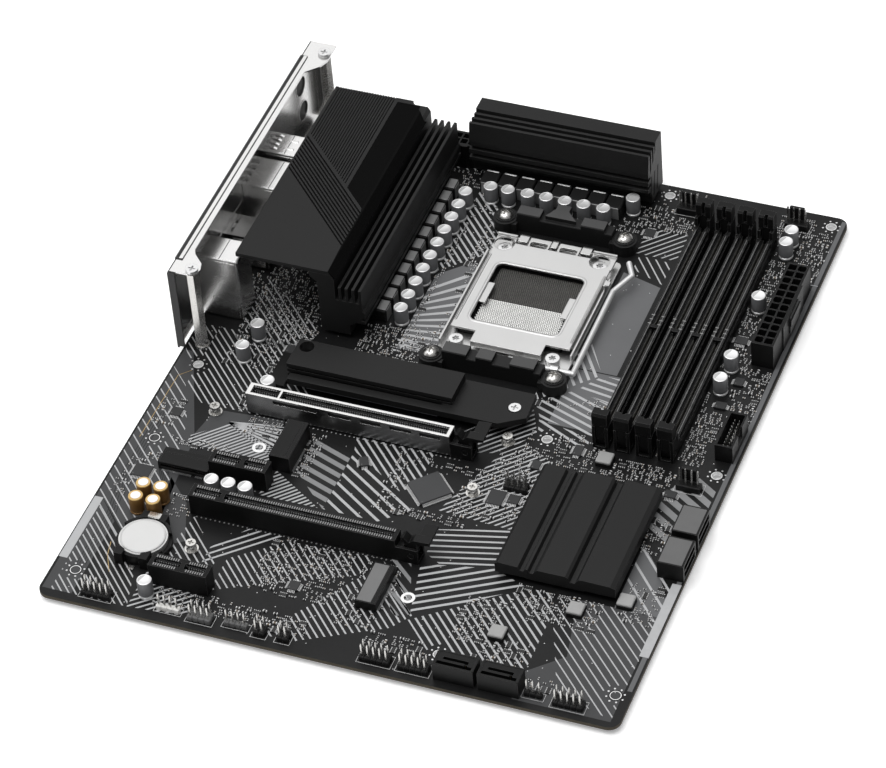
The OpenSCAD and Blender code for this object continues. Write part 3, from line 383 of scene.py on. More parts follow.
look("nickel", rgb(0.6, (1, 0.985, 0.95)), 0.27, metal=1.0, patch=150, grain=2500, bump=0.04, edge=0.5,
    glint=0.8, radius=0.15)
look("solder", rgb(0.62, (1, 1, 1.01)), 0.34, metal=0.85, vary=0.2, uneven=0.1, patch=500, grain=3500,
    bump=0.12)
look("part_end", 0.7, 0.5, metal=0.25, vary=0.2, patch=500, grain=3500)
look("gold", (0.72, 0.55, 0.25, 1), 0.3, metal=1.0, bump=0.04)
# the two contact colours below are one contact metal, as a painted-shade copy and a painted-highlight copy
look("contact_dark", (0.14, 0.135, 0.125, 1), 0.42, metal=0.6, vary=0.3, bump=0.05)
look("contact_bright", (0.86, 0.86, 0.84, 1), 0.4, metal=0.25, vary=0.15, bump=0.05)
look("sleeve_grey", rgb(0.15, COOL), 0.42, metal=0.1, vary=0.12, patch=200, grain=1800, bump=0.05)
look("sleeve_bronze", (0.21, 0.11, 0.032, 1), 0.34, metal=0.45, vary=0.2, patch=250, grain=1800, bump=0.04)
look("can_top", 0.84, 0.4, metal=0.55, vary=0.06, patch=250, grain=2600, bump=0.06)
look("can_mark", 0.52, 0.5, metal=0.2, patch=250, grain=2600, bump=0.06)
look("ferrite", 0.008, 0.6, spec=0.2, vary=0.25, patch=200, grain=2000, bump=0.2, edge=0.6, glint=0.09,
    radius=0.2)
look("strap_metal", 0.4, 0.45, metal=0.6, vary=0.15, patch=200, grain=1500, bump=0.06)
look("inductor_grey", rgb(0.36, (1, 1, 0.99)), 0.6, metal=0.1, spec=0.3, vary=0.08, patch=150, grain=2200,
    bump=0.2, edge=0.5, glint=0.55, radius=0.2)
look("chip_black", rgb(0.028, COOL), 0.55, spec=0.35, vary=0.15, patch=200, grain=3200, bump=0.16, edge=0.6,
    glint=0.08, radius=0.1)
look("chip_slate", rgb(0.045, (0.98, 1.0, 1.03)), 0.55, spec=0.35, vary=0.08, patch=120, grain=3200,
    bump=0.16, edge=0.5, glint=0.15, radius=0.12)
look("smd_tan", (0.16, 0.13, 0.1, 1), 0.6, spec=0.3, vary=0.35, patch=500)
look("smd_grey", 0.1, 0.6, spec=0.3, vary=0.3, patch=500)
look("smd_black", 0.016, 0.5, spec=0.4, vary=0.3, patch=500)
# a darker copy of the armour metal for its front faces: painted shade
look("armour_shaded_side", 0.26, 0.3, metal=1.0, vary=0.2, uneven=0.05, patch=30, grain=2600, bump=0.02,
    stretch=(10, 1, 1))
look("cell_metal", rgb(0.62, (1, 1, 0.99)), 0.38, metal=0.75, vary=0.05, patch=80, grain=900, bump=0.06,
    edge=0.4, glint=0.9, radius=0.3, stretch=(1, 14, 1))
look("white_plastic", rgb(0.75, (1, 0.99, 0.96)), 0.45, spec=0.4, vary=0.06, patch=150, grain=2500, bump=0.08)
look("grey_plastic", 0.12, 0.5, spec=0.4, patch=150, grain=2500, bump=0.08)
look("pad_grey", rgb(0.2, (0.95, 1, 1.08)), 0.8, spec=0.2, vary=0.2, patch=200, grain=900, bump=0.4)
look("shield_paint", 0.012, 0.48, spec=0.4, vary=0.15, patch=60, grain=3500, bump=0.2, edge=0.7, glint=0.3,
    radius=0.2)
look("gilt", (0.62, 0.42, 0.16, 1), 0.4, metal=0.4, vary=0.15, patch=250, grain=1800, bump=0.04)
look("tin", 0.5, 0.4, metal=0.7, vary=0.15, bump=0.05)
look("groove_black", 0.002, 0.6, spec=0.05, patch=80, grain=2500, bump=0.05)
look("label_grey", 0.16, 0.42, metal=0.2, spec=0.4, vary=0.08, patch=120, grain=2500, bump=0.06)
look("copper_edge", (0.42, 0.3, 0.14, 1), 0.4, metal=0.9, vary=0.2, grain=2000, bump=0.05)


def dress(name, *nodes):
    for node in nodes:
        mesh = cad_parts[node].data
        mesh.materials.clear()
        mesh.materials.append(LOOKS[name])


def dress_part(node, name, test):
    """Gives the faces that pass test(centre, normal), in board millimetres, a further look."""
    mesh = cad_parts[node].data
    mesh.materials.append(LOOKS[name])
    index = len(mesh.materials) - 1
    for poly in mesh.polygons:
        if test(board(poly.center), poly.normal):
            poly.material_index = index


dress("mask_black", "pcb")
dress("plate_steel", "load_plate", "socket_frame", "socket_backplate")
dress("screw_steel", "socket_screws", "m2_heatsink_screws", "io_shield_screws")
dress("lever_nickel", "load_lever")
dress("nickel", "cooler_bracket_screws", "io_shield_posts", "m2_standoffs")
dress("solder", "solder_tails")
dress("black_plastic", "socket_body", "main_power_socket", "cpu_power_socket", "usb3_header",
    "side_sata_ports", "bottom_sata_ports", "m2_sockets", "battery_holder", "graphics_slot_latch",
    "lower_slot_latch")
dress("bracket_plastic", "cooler_bracket_top", "cooler_bracket_bottom")
dress("slot_plastic", "dimm_slots", "graphics_slot", "lower_x16_slot", "short_slots",
    *[f"dimm_latch_{end}_{k}" for end in ("top", "bottom") for k in range(1, 5)])
dress("anodised", "rear_vrm_heatsink", "rear_heatsink_cover", "top_vrm_heatsink", "m2_heatsink",
    "chipset_heatsink")
dress("chip_black", "power_stages", "chipset")
dress("pad_grey", "thermal_pads")
dress("shield_paint", "io_shield_panel")
dress("nickel_sheet", "io_shield", "graphics_slot_armour", "audio_jack_stack", "usb_stack_low",
    "network_usb_stack", "usb_stack_tall", "video_port")
dress("cell_metal", "coin_cell")
# painted shade: the armour's faces turned toward -Y take a darker copy of its metal
dress_part("graphics_slot_armour", "armour_shaded_side", lambda p, n: n.y < -0.5)


def is_side(_, normal):
    return abs(normal.z) < 0.5


HEADER_PITCH, DIMM_PITCH = 2.54, 9.27
HOLES = [(10.16, 16.51), (165.1, 16.51), (237.49, 16.51), (10.16, 95.25), (10.16, 140.97), (165.1, 140.97),
    (237.49, 140.97), (33.02, 298.45), (165.1, 298.45), (237.49, 298.45)]


def near_hole(p, reach=2.3):
    return any((p.x - x) ** 2 + (p.y - y) ** 2 < reach * reach for x, y in HOLES)


# painted light: the upward faces of each bracket's top take a lighter copy of its black plastic
for name in ("cooler_bracket_top", "cooler_bracket_bottom"):
    dress_part(name, "bracket_top", lambda p, n: n.z > 0.8 and p.z > 8.5)
dress_part("pcb", "laminate", lambda p, n: is_side(p, n) and not near_hole(p))
dress_part("pcb", "can_top", lambda p, n: is_side(p, n) and near_hole(p))
COVER_TOP = node_box("rear_heatsink_cover")[1].z
dress_part("rear_heatsink_cover", "groove_black", lambda p, n: n.z > 0.8
    and COVER_TOP - 1.2 < p.z < COVER_TOP - 0.1)
dress_part("rear_heatsink_cover", "groove_black", lambda p, n: p.x > 57.35 and p.z > 30)


def in_bays(bays):
    return lambda p, n: p.x > -1.9 and any(y0 - 0.05 <= p.y <= y1 + 0.05 and z0 - 0.05 <= p.z <= z1 + 0.05
        and p.x <= x1 + 0.3 for y0, y1, z0, z1, x1 in bays)


def usb_bays(ports):
    y, zs = ports
    return [(y - 6.1, y + 6.1, z - 2.5, z + 2.5, 12) for z in zs]


# centre line and heights of the openings in each stack
JACK_Y, JACK_ZS = 178.1, (6.2, 16.6, 27.0)
USB_LOW, USB_NETWORK, USB_TALL = (209.3, (4.6, 12.6)), (232.3, (4.4, 10.8)), (250.2, (4.4, 11.8, 19.2, 26.6))


def near_jack(p, z, reach_squared):
    return (p.y - JACK_Y) ** 2 + (p.z - z) ** 2 < reach_squared


dress_part("usb_stack_low", "black_plastic", in_bays(usb_bays(USB_LOW)))
dress_part("usb_stack_tall", "black_plastic", in_bays(usb_bays(USB_TALL)))
dress_part("network_usb_stack", "black_plastic", in_bays(usb_bays(USB_NETWORK)
    + [(226.4, 238.2, 15.6, 26.6, 12)]))
dress_part("video_port", "black_plastic", in_bays([(263.2, 277.2, 2.4, 7, 9)]))
dress_part("audio_jack_stack", "black_plastic", lambda p, n: 172.2 <= p.y <= 184.0 and 1.4 < p.z < 31.8
    and p.x < 14.2 and (n.x < -0.6 or any(near_jack(p, z, 16) for z in JACK_ZS)))

# ---- printed stripes


def clip(poly, a, b):
    """The part of a polygon left of the line from a to b."""
    out = []
    for i, p in enumerate(poly):
        q = poly[(i + 1) % len(poly)]
        dp = (b[0] - a[0]) * (p[1] - a[1]) - (b[1] - a[1]) * (p[0] - a[0])
        dq = (b[0] - a[0]) * (q[1] - a[1]) - (b[1] - a[1]) * (q[0] - a[0])
        if dp >= 0:
            out.append(p)
        if (dp >= 0) != (dq >= 0):
            t = dp / (dp - dq)
            out.append((p[0] + t * (q[0] - p[0]), p[1] + t * (q[1] - p[1])))
    return out


def clip_to(poly, region):
    for i, a in enumerate(region):
        poly = clip(poly, a, region[(i + 1) % len(region)])
        if len(poly) < 3:
            return []
    return poly


def area(poly):
    return sum(p[0] * q[1] - p[1] * q[0] for p, q in zip(poly, poly[1:] + poly[:1])) / 2


EDGE = 0.9  # bare rim around the printing
PRINT_LO, PRINT_HI = -0.03, 0.03  # printed lines reach a little into the board
SHEET = rect(EDGE, EDGE, BOARD_W - EDGE, BOARD_L - EDGE)


def spans_outside_holes(o, d, t0, t1, r):
    """The stretches of a line that keep r away from every mounting hole."""
    spans = [(t0, t1)]
    for h in HOLES:
        along = (h[0] - o[0]) * d[0] + (h[1] - o[1]) * d[1]
        off = (h[0] - o[0]) * d[1] - (h[1] - o[1]) * d[0]
        if abs(off) >= r:
            continue
        half = sqrt(r * r - off * off)
        spans = [s for a, b in spans for s in ((a, min(b, along - half)), (max(a, along + half), b))
            if s[1] - s[0] > 0.3]
    return spans


HOLE_CLEAR = 5.2  # no stripes this close to a mounting hole


def hatch(shape, region, angle, pitch, width, shift=0.0, mat=0):
    """Printed stripes at an angle in degrees, cut to a convex region."""
    if area(region) < 0:
        region = region[::-1]
    a = radians(angle)
    d, n = (cos(a), sin(a)), (-sin(a), cos(a))
    offs = [x * n[0] + y * n[1] for x, y in region]
    runs = [x * d[0] + y * d[1] for x, y in region]
    k = ceil((min(offs) - shift) / pitch)
    while shift + k * pitch < max(offs):
        off = shift + k * pitch
        o = (n[0] * off, n[1] * off)
        for t0, t1 in spans_outside_holes(o, d, min(runs), max(runs), HOLE_CLEAR):
            quad = [(o[0] + d[0] * t + n[0] * s, o[1] + d[1] * t + n[1] * s)
                for t, s in ((t0, -width / 2), (t1, -width / 2), (t1, width / 2), (t0, width / 2))]
            cut = clip_to(clip_to(quad, region), SHEET)
            if len(cut) >= 3 and area(cut) > 0.05:
                shape.prism(cut, PRINT_LO, PRINT_HI, mat)
        k += 1


def fan_of(shape, region, centre, angles, width0, width1, reach):
    """Stripes that spread out from a centre."""
    for angle in angles:
        a = radians(angle)
        d, n = (cos(a), sin(a)), (-sin(a), cos(a))
        quad = [(centre[0] + d[0] * t + n[0] * s, centre[1] + d[1] * t + n[1] * s)
            for t, s in ((0, -width0 / 2), (reach, -width1 / 2), (reach, width1 / 2), (0, width0 / 2))]
        cut = clip_to(quad, region)
        if len(cut) >= 3:
            shape.prism(cut, PRINT_LO, PRINT_HI)


DIM_PATCHES = 6  # the first patches take the darker grey
patches = Shape()
for k, outline in enumerate((
    [(0.9, 60), (14, 46), (14, 4), (1.2, 4)],
    [(0.9, 148), (0.9, 60), (30, 31), (33, 36), (26, 100), (5, 148)],
    [(33, 36), (46, 44), (38, 64), (26, 76)],
    [(207, 60), (240, 60), (240, 20), (213, 30)],
    [(213, 30), (240, 20), (240, 3), (200, 3), (200, 18)],
    [(28, 118), (58, 120), (58, 96), (24, 96)],
    [(162, 184.6), (180, 184.6), (180, 241), (162, 246)],
    [(222, 96), (232, 84), (240, 70), (240, 60), (222, 60)],
    [(86, 174), (102.6, 175), (102.6, 232.3), (96.7, 232.3), (86, 222)],
    [(241, 20), (242.9, 20), (242.9, 303), (241, 303)],
    [(162, 150), (182, 150), (182, 184), (162, 184)],
)):
    flat = clip_to(outline if area(outline) > 0 else outline[::-1], SHEET)
    patches.prism(flat, PRINT_LO, 0.012, 1 if k < DIM_PATCHES else 0)
piece("mask_patches", patches, "mask_grey mask_dim")

WIDE_STRIPE = 1.5  # wider stripes are printed in the darker ink
stripes = Shape()
for region, angle, pitch, width, shift in (
    ([(0.9, 148), (0.9, 56), (33, 24), (33, 60), (26, 84), (26, 112), (10, 128)], -45, 3.35, 0.55, 0.4),
    ([(4.8, 54), (4.8, 4), (38, 4), (33, 23)], -45, 2.35, 0.6, 0.2),
    ([(10, 129), (10, 165), (60, 165), (62, 120), (46, 120), (30, 112)], -45, 2.55, 0.6, 0.0),
    ([(10, 165), (0.9, 165), (0.9, 149), (10, 137)], -45, 2.55, 0.55, 1.2),
    ([(24, 101), (24, 96), (62, 96), (62, 103), (37, 112)], 45, 1.75, 0.75, 0.0),
    ([(74, 116.5), (92, 110.5), (92, 77), (74, 94)], -20, 4.5, 2.2, 0.6),
    ([(92.2, 110.3), (128, 88), (116, 77), (92.2, 77)], -33, 4.4, 1.2, 0.4),
    ([(92, 112), (90, 120), (124, 120), (124, 100), (118, 95.5)], -45, 2.9, 0.9, 0.0),
    ([(66, 92), (90, 77), (64, 77)], 45, 1.9, 0.8, 0.5),
    ([(44, 58), (62, 38), (62, 27), (40, 27)], -45, 2.65, 0.65, 0.3),
    ([(57, 33), (84, 58), (68, 58), (57, 44)], 42, 3.0, 0.9, 0.4),
    ([(66, 40), (86, 56), (122, 58), (122, 48), (66, 22)], -45, 2.65, 0.65, 0.0),
    ([(66, 22), (122, 48), (130, 60), (148, 33), (142, 24), (108, 6), (62, 6)], -45, 2.65, 0.7, 0.0),
    ([(38, 4), (62, 6), (62, 24), (38, 24)], 40, 2.4, 0.8, 0.3),
    ([(125, 60), (137, 60), (147, 33), (140, 30)], -40, 4.6, 1.6, 0.0),
    ([(147, 31.5), (141, 60), (150, 62), (170, 66), (186, 60)], 30, 3.6, 1.15, 0.5),
    ([(141, 80), (141, 66), (150, 61), (171, 67), (169, 88)], 14, 3.1, 0.9, 0.2),
    ([(147, 30), (187, 60), (196, 60), (200, 50), (200, 17), (160, 17)], -45, 2.85, 0.85, 0.0),
    ([(200, 50), (196, 60), (220, 60), (240, 56), (240, 4), (200, 16)], -45, 3.1, 0.55, 0.0),
    ([(222, 96), (222, 61), (240, 57), (240, 80), (230, 96)], -48, 6.0, 1.0, 0.0),
    ([(219, 124), (219, 103), (229, 98), (240, 116), (240, 136), (229, 138)], -33, 5.0, 3.0, 0.0),
    ([(137, 90), (150, 128), (158, 136), (170, 130), (170, 88)], 45, 2.25, 0.72, 0.0),
    ([(135, 124), (128, 132), (148, 156), (152, 160), (160, 143), (150, 128)], 45, 2.4, 0.75, 1.0),
    ([(160, 144), (158, 151), (182, 147), (182, 140)], -25, 3.7, 1.2, 0.0),
    ([(164, 200), (174, 183.3), (152, 160.7), (150.7, 173)], -56, 3.3, 1.2, 0.0),
    ([(174.6, 183), (167, 172), (182, 168), (182.6, 183)], -9, 3.6, 1.2, 0.2),
    ([(166.6, 171.6), (153, 160.4), (158, 152), (182, 148), (182.4, 167.6)], -20, 3.6, 1.2, 0.0),
    ([(85, 282), (104, 262), (102, 240), (85, 224)], -47, 2.7, 0.9, 0.0),
    ([(165, 258), (165, 249), (180, 243), (180, 257)], -52, 3.2, 0.6, 0.0),
    ([(163, 276), (163, 259), (181, 259), (181, 276)], 45, 2.6, 0.6, 0.0),
    ([(60, 290), (82, 290), (82, 303), (60, 303)], -45, 3.0, 0.7, 0.0),
    ([(104, 180), (85, 172), (85, 182)], 0, 3.2, 1.0, 0.0),
    ([(18, 200), (50, 176), (50, 160), (18, 160)], -45, 2.6, 0.6, 0.0),
):
    hatch(stripes, region, angle, pitch, width, shift, mat=1 if width > WIDE_STRIPE else 0)
fan_of(stripes, [(86, 174), (102.6, 174), (102.6, 234), (86, 222)], (55, 181.5),
    [5.2 * k - 7.5 for k in range(11)], 0.3, 2.0, 68)
fan_of(stripes, [(36, 112), (62, 98), (62, 116.6), (38, 114.6)], (35, 112.5),
    [-32 + 5.2 * k for k in range(9)], 0.5, 1.3, 30)
piece("stripe_print", stripes, "ink ink_dim")

bars = Shape()
for x0, x1, y0, y1 in ((0.5, 4.2, 21.5, 57), (239.5, 243.3, 38.5, 79)):
    bars.prism(rect(x0, y0, x1, y1), PRINT_LO, 0.04)
for x0, x1, y0, y1 in ((231, 243, 260.6, 260.9), (57, 62, 90.6, 90.9)):
    bars.prism(rect(x0, y0, x1, y1), PRINT_LO, PRINT_HI)
piece("edge_bars", bars, "ink")

# ---- copper under the mask, and vias

rng = random.Random(6)
traces = Shape()


def trace(path, w):
    """A raised line of copper under the mask."""
    for a, b in zip(path, path[1:]):
        d = Vector((b[0] - a[0], b[1] - a[1]))
        if d.length < 1e-6:
            continue
        n = Vector((-d.y, d.x)).normalized() * w / 2
        e = d.normalized() * w * 0.3
        quad = [(a[0] - n.x - e.x, a[1] - n.y - e.y), (b[0] - n.x + e.x, b[1] - n.y + e.y),
            (b[0] + n.x + e.x, b[1] + n.y + e.y), (a[0] + n.x - e.x, a[1] + n.y - e.y)]
        if area(quad) < 0:
            quad.reverse()
        traces.prism(quad, -0.02, 0.02)


def bus(start, steps, lines, gap, w=0.22):
    """Parallel traces that turn together. steps are (angle, length)."""
    for k in range(lines):
        off = (k - lines / 2) * gap
        a0 = radians(steps[0][0] + 90)
        x, y = start[0] + cos(a0) * off, start[1] + sin(a0) * off
        path = [(x, y)]
        for i, (angle, length) in enumerate(steps):
            a = radians(angle)
            if i + 1 < len(steps):
                turn = radians(steps[i + 1][0] - angle) / 2
                length = length - off * tan(turn)
            if i:
                length = length - off * tan(radians(angle - steps[i - 1][0]) / 2)
            x, y = x + cos(a) * length, y + sin(a) * length
            path.append((x, y))
        trace(path, w)


for start, steps, lines, gap in (
    ((104, 132), [(-90, 4), (-45, 14), (-90, 10)], 10, 0.6),
    ((172, 128), [(90, 6), (45, 10), (90, 8)], 8, 0.6),
    ((170, 76), [(180, 12), (155, 14), (180, 10)], 12, 0.6),
    ((186, 60), [(-90, 10), (-120, 16), (-90, 16)], 10, 0.6),
    ((222, 100), [(0, 4), (30, 5), (0, 5)], 6, 0.6),
    ((20, 90), [(-90, 8), (-60, 14), (-90, 20)], 6, 0.7),
    ((8, 110), [(-90, 40), (-80, 20), (-90, 30)], 4, 1.2),
    ((226, 270), [(-90, 20), (-80, 20), (-90, 60)], 5, 0.7),
):
    bus(start, steps, lines, gap)
piece("raised_traces", traces, "mask_black")

edge_line = Shape()
for path in ([(9, 137), (4.6, 132.5), (4, 94)], [(17.4, 35), (19, 28), (23.5, 19.5)]):
    for a, b in zip(path, path[1:]):
        d = Vector((b[0] - a[0], b[1] - a[1])).normalized()
        n = Vector((-d.y, d.x)) * 0.14
        edge_line.prism([(a[0] - n.x, a[1] - n.y), (b[0] - n.x, b[1] - n.y), (b[0] + n.x, b[1] + n.y),
            (a[0] + n.x, a[1] + n.y)], -0.02, 0.034)
piece("isolation_line", edge_line, "copper_edge")

vias = Shape()


def dot(x, y, r, z=0.05, mat=0, n=8):
    vias.lathe((x, y, 0), [(r, -0.02), (r, z * 0.5), (r * 0.6, z)], n, mat)


for x, y in HOLES:
    for k in range(8):
        a = tau * (k + 0.5) / 8
        dot(x + 3.55 * cos(a), y + 3.55 * sin(a), 0.42, 0.06)
for k in range(46):
    dot(45 + 2 * k, 119.3, 0.36)
for k in range(44):
    dot(45 + 2 * k, 58.2, 0.36)
for k in range(9):
    dot(46 + 2 * k, 78.4, 0.36)
    dot(46 + 2 * k, 17.4, 0.36)
for k in range(60):
    dot(182.6, 150 + 2.1 * k, 0.26)
for _ in range(420):
    x, y = rng.uniform(3, BOARD_W - 3), rng.uniform(3, BOARD_L - 3)
    dot(x, y, 0.24, 0.02, n=6)
rings = Shape()
for x, y in HOLES:
    rings.ring(circle(x, y, 2.75), circle(x, y, 2.32), -0.02, 0.035, 0)
    rings.ring(circle(x, y, 2.3), circle(x, y, 2.02), -0.02, 0.05, 1)
for x, y in ((53.8, 102.4), (142.8, 41.2)):
    rings.ring(circle(x, y, 2.9), circle(x, y, 1.65), -0.02, 0.05, 1)
piece("vias", vias, "solder")
piece("hole_rings", rings, "mask_black can_top")

# ---- surface-mount parts

keepouts = []
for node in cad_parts:
    if node in ("pcb", "solder_tails", "socket_backplate", "chips", "load_plate", "load_lever"):
        continue
    for lo, hi in islands(node, below=2.0):
        if hi.z > -0.5:
            keepouts.append((lo.x, lo.y, hi.x, hi.y))
CHIPS = islands("chips")
for lo, hi in CHIPS:
    g = 1.3
    keepouts.append((lo.x - g, lo.y - g, hi.x + g, hi.y + g))
keepouts += [(x - 4.4, y - 4.4, x + 4.4, y + 4.4) for x, y in HOLES]


def free(x0, y0, x1, y1, gap=0.35):
    if x0 < 2 or y0 < 2 or x1 > BOARD_W - 2 or y1 > BOARD_L - 2:
        return False
    return not any(x0 - gap < k[2] and x1 + gap > k[0] and y0 - gap < k[3] and y1 + gap > k[1]
        for k in keepouts)


smd = Shape()
BODY, END, DARK, TAN = 0, 1, 2, 3


def chip_part(x, y, l, w, h, turned, body):
    """A two-ended part with solder ends."""
    hl, hw = (w / 2, l / 2) if turned else (l / 2, w / 2)
    if not free(x - hl, y - hw, x + hl, y + hw):
        return False
    keepouts.append((x - hl, y - hw, x + hl, y + hw))
    e = l * 0.24

    def part(u0, u1, half, z0, z1, mat, c=0.0):
        if turned:
            smd.block((x - half, y + u0, z0), (x + half, y + u1, z1), c, mat)
        else:
            smd.block((x + u0, y - half, z0), (x + u1, y + half, z1), c, mat)

    part(-l / 2 + e, l / 2 - e, w * 0.46, 0.02, h * 0.96, body)
    part(-l / 2, -l / 2 + e, w / 2, 0, h, END, 0.05)
    part(l / 2 - e, l / 2, w / 2, 0, h, END, 0.05)
    return True


def array_part(x, y, turned, ends=4, pitch=0.8):
    """A resistor pack or small package with ends along both long sides."""
    l, w = ends * pitch, 1.5
    hl, hw = (w / 2 + 0.3, l / 2) if turned else (l / 2, w / 2 + 0.3)
    if not free(x - hl, y - hw, x + hl, y + hw):
        return
    keepouts.append((x - hl, y - hw, x + hl, y + hw))
    a, b = (w / 2, l / 2) if turned else (l / 2, w / 2)
    smd.slab(x, y, a, b, 0.03, 0.55, 0.06, DARK)
    for k in range(ends):
        t = (k + 0.5) * pitch - l / 2
        for s in (-1, 1):
            u = s * (w / 2 + 0.1)
            px, py = (x + u, y + t) if turned else (x + t, y + u)
            hx, hy = (0.24, 0.2) if turned else (0.2, 0.24)
            smd.slab(px, py, hx, hy, 0, 0.42, 0, END)


def fill(x0, y0, x1, y1, density=0.75, big=0.16, arrays=0.12):
    """Rows of small parts in a rectangle, leaving what is already there."""
    y = y0
    while y < y1:
        x = x0 + rng.uniform(0, 0.8)
        turned = rng.random() < 0.45
        step = 1.5 if not turned else 1.75
        while x < x1:
            if rng.random() < 0.06:
                turned = not turned
            if rng.random() < density:
                r = rng.random()
                body = rng.choice((BODY, DARK, TAN, DARK, BODY))
                jx, jy = rng.uniform(-0.12, 0.12), rng.uniform(-0.08, 0.08)
                if r < big:
                    chip_part(x + jx, y + jy, 1.7, 0.95, 0.75, turned, body)
                elif r < big + arrays:
                    array_part(x + jx, y + jy, turned)
                else:
                    chip_part(x + jx, y + jy, 1.15, 0.6, 0.42, turned, body)
            x += 1.0 if turned else 1.55
        y += step


for zone in (
    (5, 62, 12, 82, 0.6), (28, 56, 42, 68, 0.55), (5, 104, 16, 119, 0.5), (12, 84, 42, 88.5, 0.7),
    (17, 95, 42, 99, 0.7), (44, 109, 62, 118, 0.75), (72.5, 92, 79, 116, 0.8), (80, 28, 116, 57, 0.6),
    (44, 8.6, 70, 20, 0.7), (62, 9.5, 112, 19, 0.6), (111, 84, 150, 117, 0.5), (150, 92, 170, 132, 0.6),
    (158, 128, 190, 145, 0.8), (188, 127, 222, 139, 0.85), (221, 92, 230, 110, 0.7),
    (225, 54, 238, 76, 0.6), (192, 45, 218, 61, 0.7), (166, 26, 182, 50, 0.6), (178, 19, 198, 31, 0.4),
    (134, 13, 160, 20, 0.5), (200, 11, 214, 16, 0.5), (18, 168, 52, 215, 0.75), (4, 186, 18, 203, 0.6),
    (4, 216, 18, 223, 0.7), (20, 146, 52, 167, 0.55), (70, 160, 104, 188, 0.75),
    (85.8, 186, 88.6, 262, 0.85), (96, 232, 102.5, 262, 0.6), (99, 184, 102.5, 232, 0.35),
    (144, 264, 160, 289, 0.7), (160, 276, 182, 287, 0.9), (160, 287, 182, 303, 0.4),
    (216, 144, 230.5, 300, 0.8), (226, 262, 241, 300, 0.8), (228, 171, 241, 204, 0.7),
    (75, 279, 92, 302, 0.75), (60, 288, 80, 303, 0.6), (176, 145, 220, 147, 0.5), (21, 216, 50, 290, 0.5),
    (36, 120, 50, 136, 0.4), (120, 20, 136, 56, 0.3), (70, 60, 130, 76, 0.0), (150, 160, 184, 172, 0.2),
    (96, 158, 112, 170, 0.5), (6, 276, 20, 300, 0.5), (182, 48, 192, 62, 0.4), (2, 242, 22, 244, 0.5),
    (85, 266, 100, 286, 0.5),
):
    fill(*zone)
piece("small_parts", smd, "smd_grey part_end smd_black smd_tan")

# ---- chips with leads

packages = Shape()


def gull(x, y, angle, w, z_top):
    """A bent lead that leaves a package at (x, y) and runs out along angle."""
    prof = [(0, z_top), (0.28, z_top), (0.62, 0.16), (1.1, 0.16), (1.1, 0.0), (0.5, 0.0),
        (0.18, z_top - 0.16), (0, z_top - 0.16)]
    a = radians(angle)
    d, n = (cos(a), sin(a)), (-sin(a), cos(a))
    packages.loft([[(x + d[0] * u + n[0] * s, y + d[1] * u + n[1] * s, z) for u, z in prof]
        for s in (w / 2, -w / 2)], 1)


for lo, hi in CHIPS:
    (cx, cy), h = middle(lo, hi), hi.z
    w, l, turn = hi.x - lo.x, hi.y - lo.y, 0
    big = w > 15
    if big:
        w = l = w / sqrt(2)
        turn = 45
    elif h > 1.2 and 5.5 < w < 7 and l > 5.5:
        turn, w, l = 25, 4.0, 5.4
    packages.place = Matrix.Translation((cx, cy, 0)) @ Matrix.Rotation(radians(turn), 4, "Z")
    packages.loft([[(x, y, z) for x, y in rect(g - w / 2, g - l / 2, w / 2 - g, l / 2 - g, 0.3)]
        for g, z in ((0.1, 0.1), (0, h * 0.5), (0.12, h))], 2 if big else 0)
    packages.lathe((-w / 2 + 1.0, -l / 2 + 1.0, h), [(0.32, -0.02), (0.32, 0.012)], 12, 3)
    sides = ((w, l, 0), (w, l, 180), (l, w, 90), (l, w, 270)) if w * l > 20 else ((w, l, 0), (w, l, 180))
    pitch, lead_w = (0.4, 0.2) if big else (0.65, 0.3)
    for across, along, angle in sides:
        count = int((along - 1.0) / pitch)
        a = radians(angle)
        for k in range(count):
            t = (k - (count - 1) / 2) * pitch
            gull(cos(a) * (across / 2 - 0.05) - sin(a) * t, sin(a) * (across / 2 - 0.05) + cos(a) * t, angle,
                lead_w, h * 0.5 + 0.08)
packages.place = None
piece("chip_packages", packages, "chip_black part_end chip_slate smd_grey", replaces=["chips"])

# ---- capacitors and coils


def cans(node, neck, shoulder, marks, half_mark):
    """Cans with a rolled neck, and with a marked half on top when half_mark is set."""
    shape = Shape()
    for lo, hi in islands(node):
        (cx, cy), h, r = middle(lo, hi), hi.z, (hi.x - lo.x) / 2
        shape.lathe((cx, cy, 0), [(r - 0.1, 0), (r - 0.02, 0.25), (r - 0.02, 0.8), (r - neck, 1.05),
            (r - neck, 1.3), (r - 0.02, 1.55), (r, 1.7)] + [(r - inset, h - drop)
            for inset, drop in shoulder], 32, marks)
        if half_mark:
            shape.prism([(cx + (r - 0.62) * cos(a), cy + (r - 0.62) * sin(a))
                for a in (radians(98 + 124 * k / 12) for k in range(13))], h - 0.2, h - 0.14, 2)
    return shape


piece("capacitor_cans", cans("polymer_capacitors", 0.3, [(0, 0.5), (0.12, 0.25), (0.4, 0.12), (0.55, 0.18)],
    [1, 1, 1, 1, 0, 0, 0, 0, 1, 1, 1], True), "sleeve_grey can_top can_mark",
    replaces=["polymer_capacitors"])
piece("audio_cans", cans("audio_capacitors", 0.35,
    [(0, 0.55), (0.2, 0.2), (0.6, 0.12), (0.95, 0.2), (1.0, 0.12)], [0, 0, 0, 0, 0, 0, 0, 1, 1, 1, 1, 2],
    False), "sleeve_bronze gilt can_top", replaces=["audio_capacitors"])

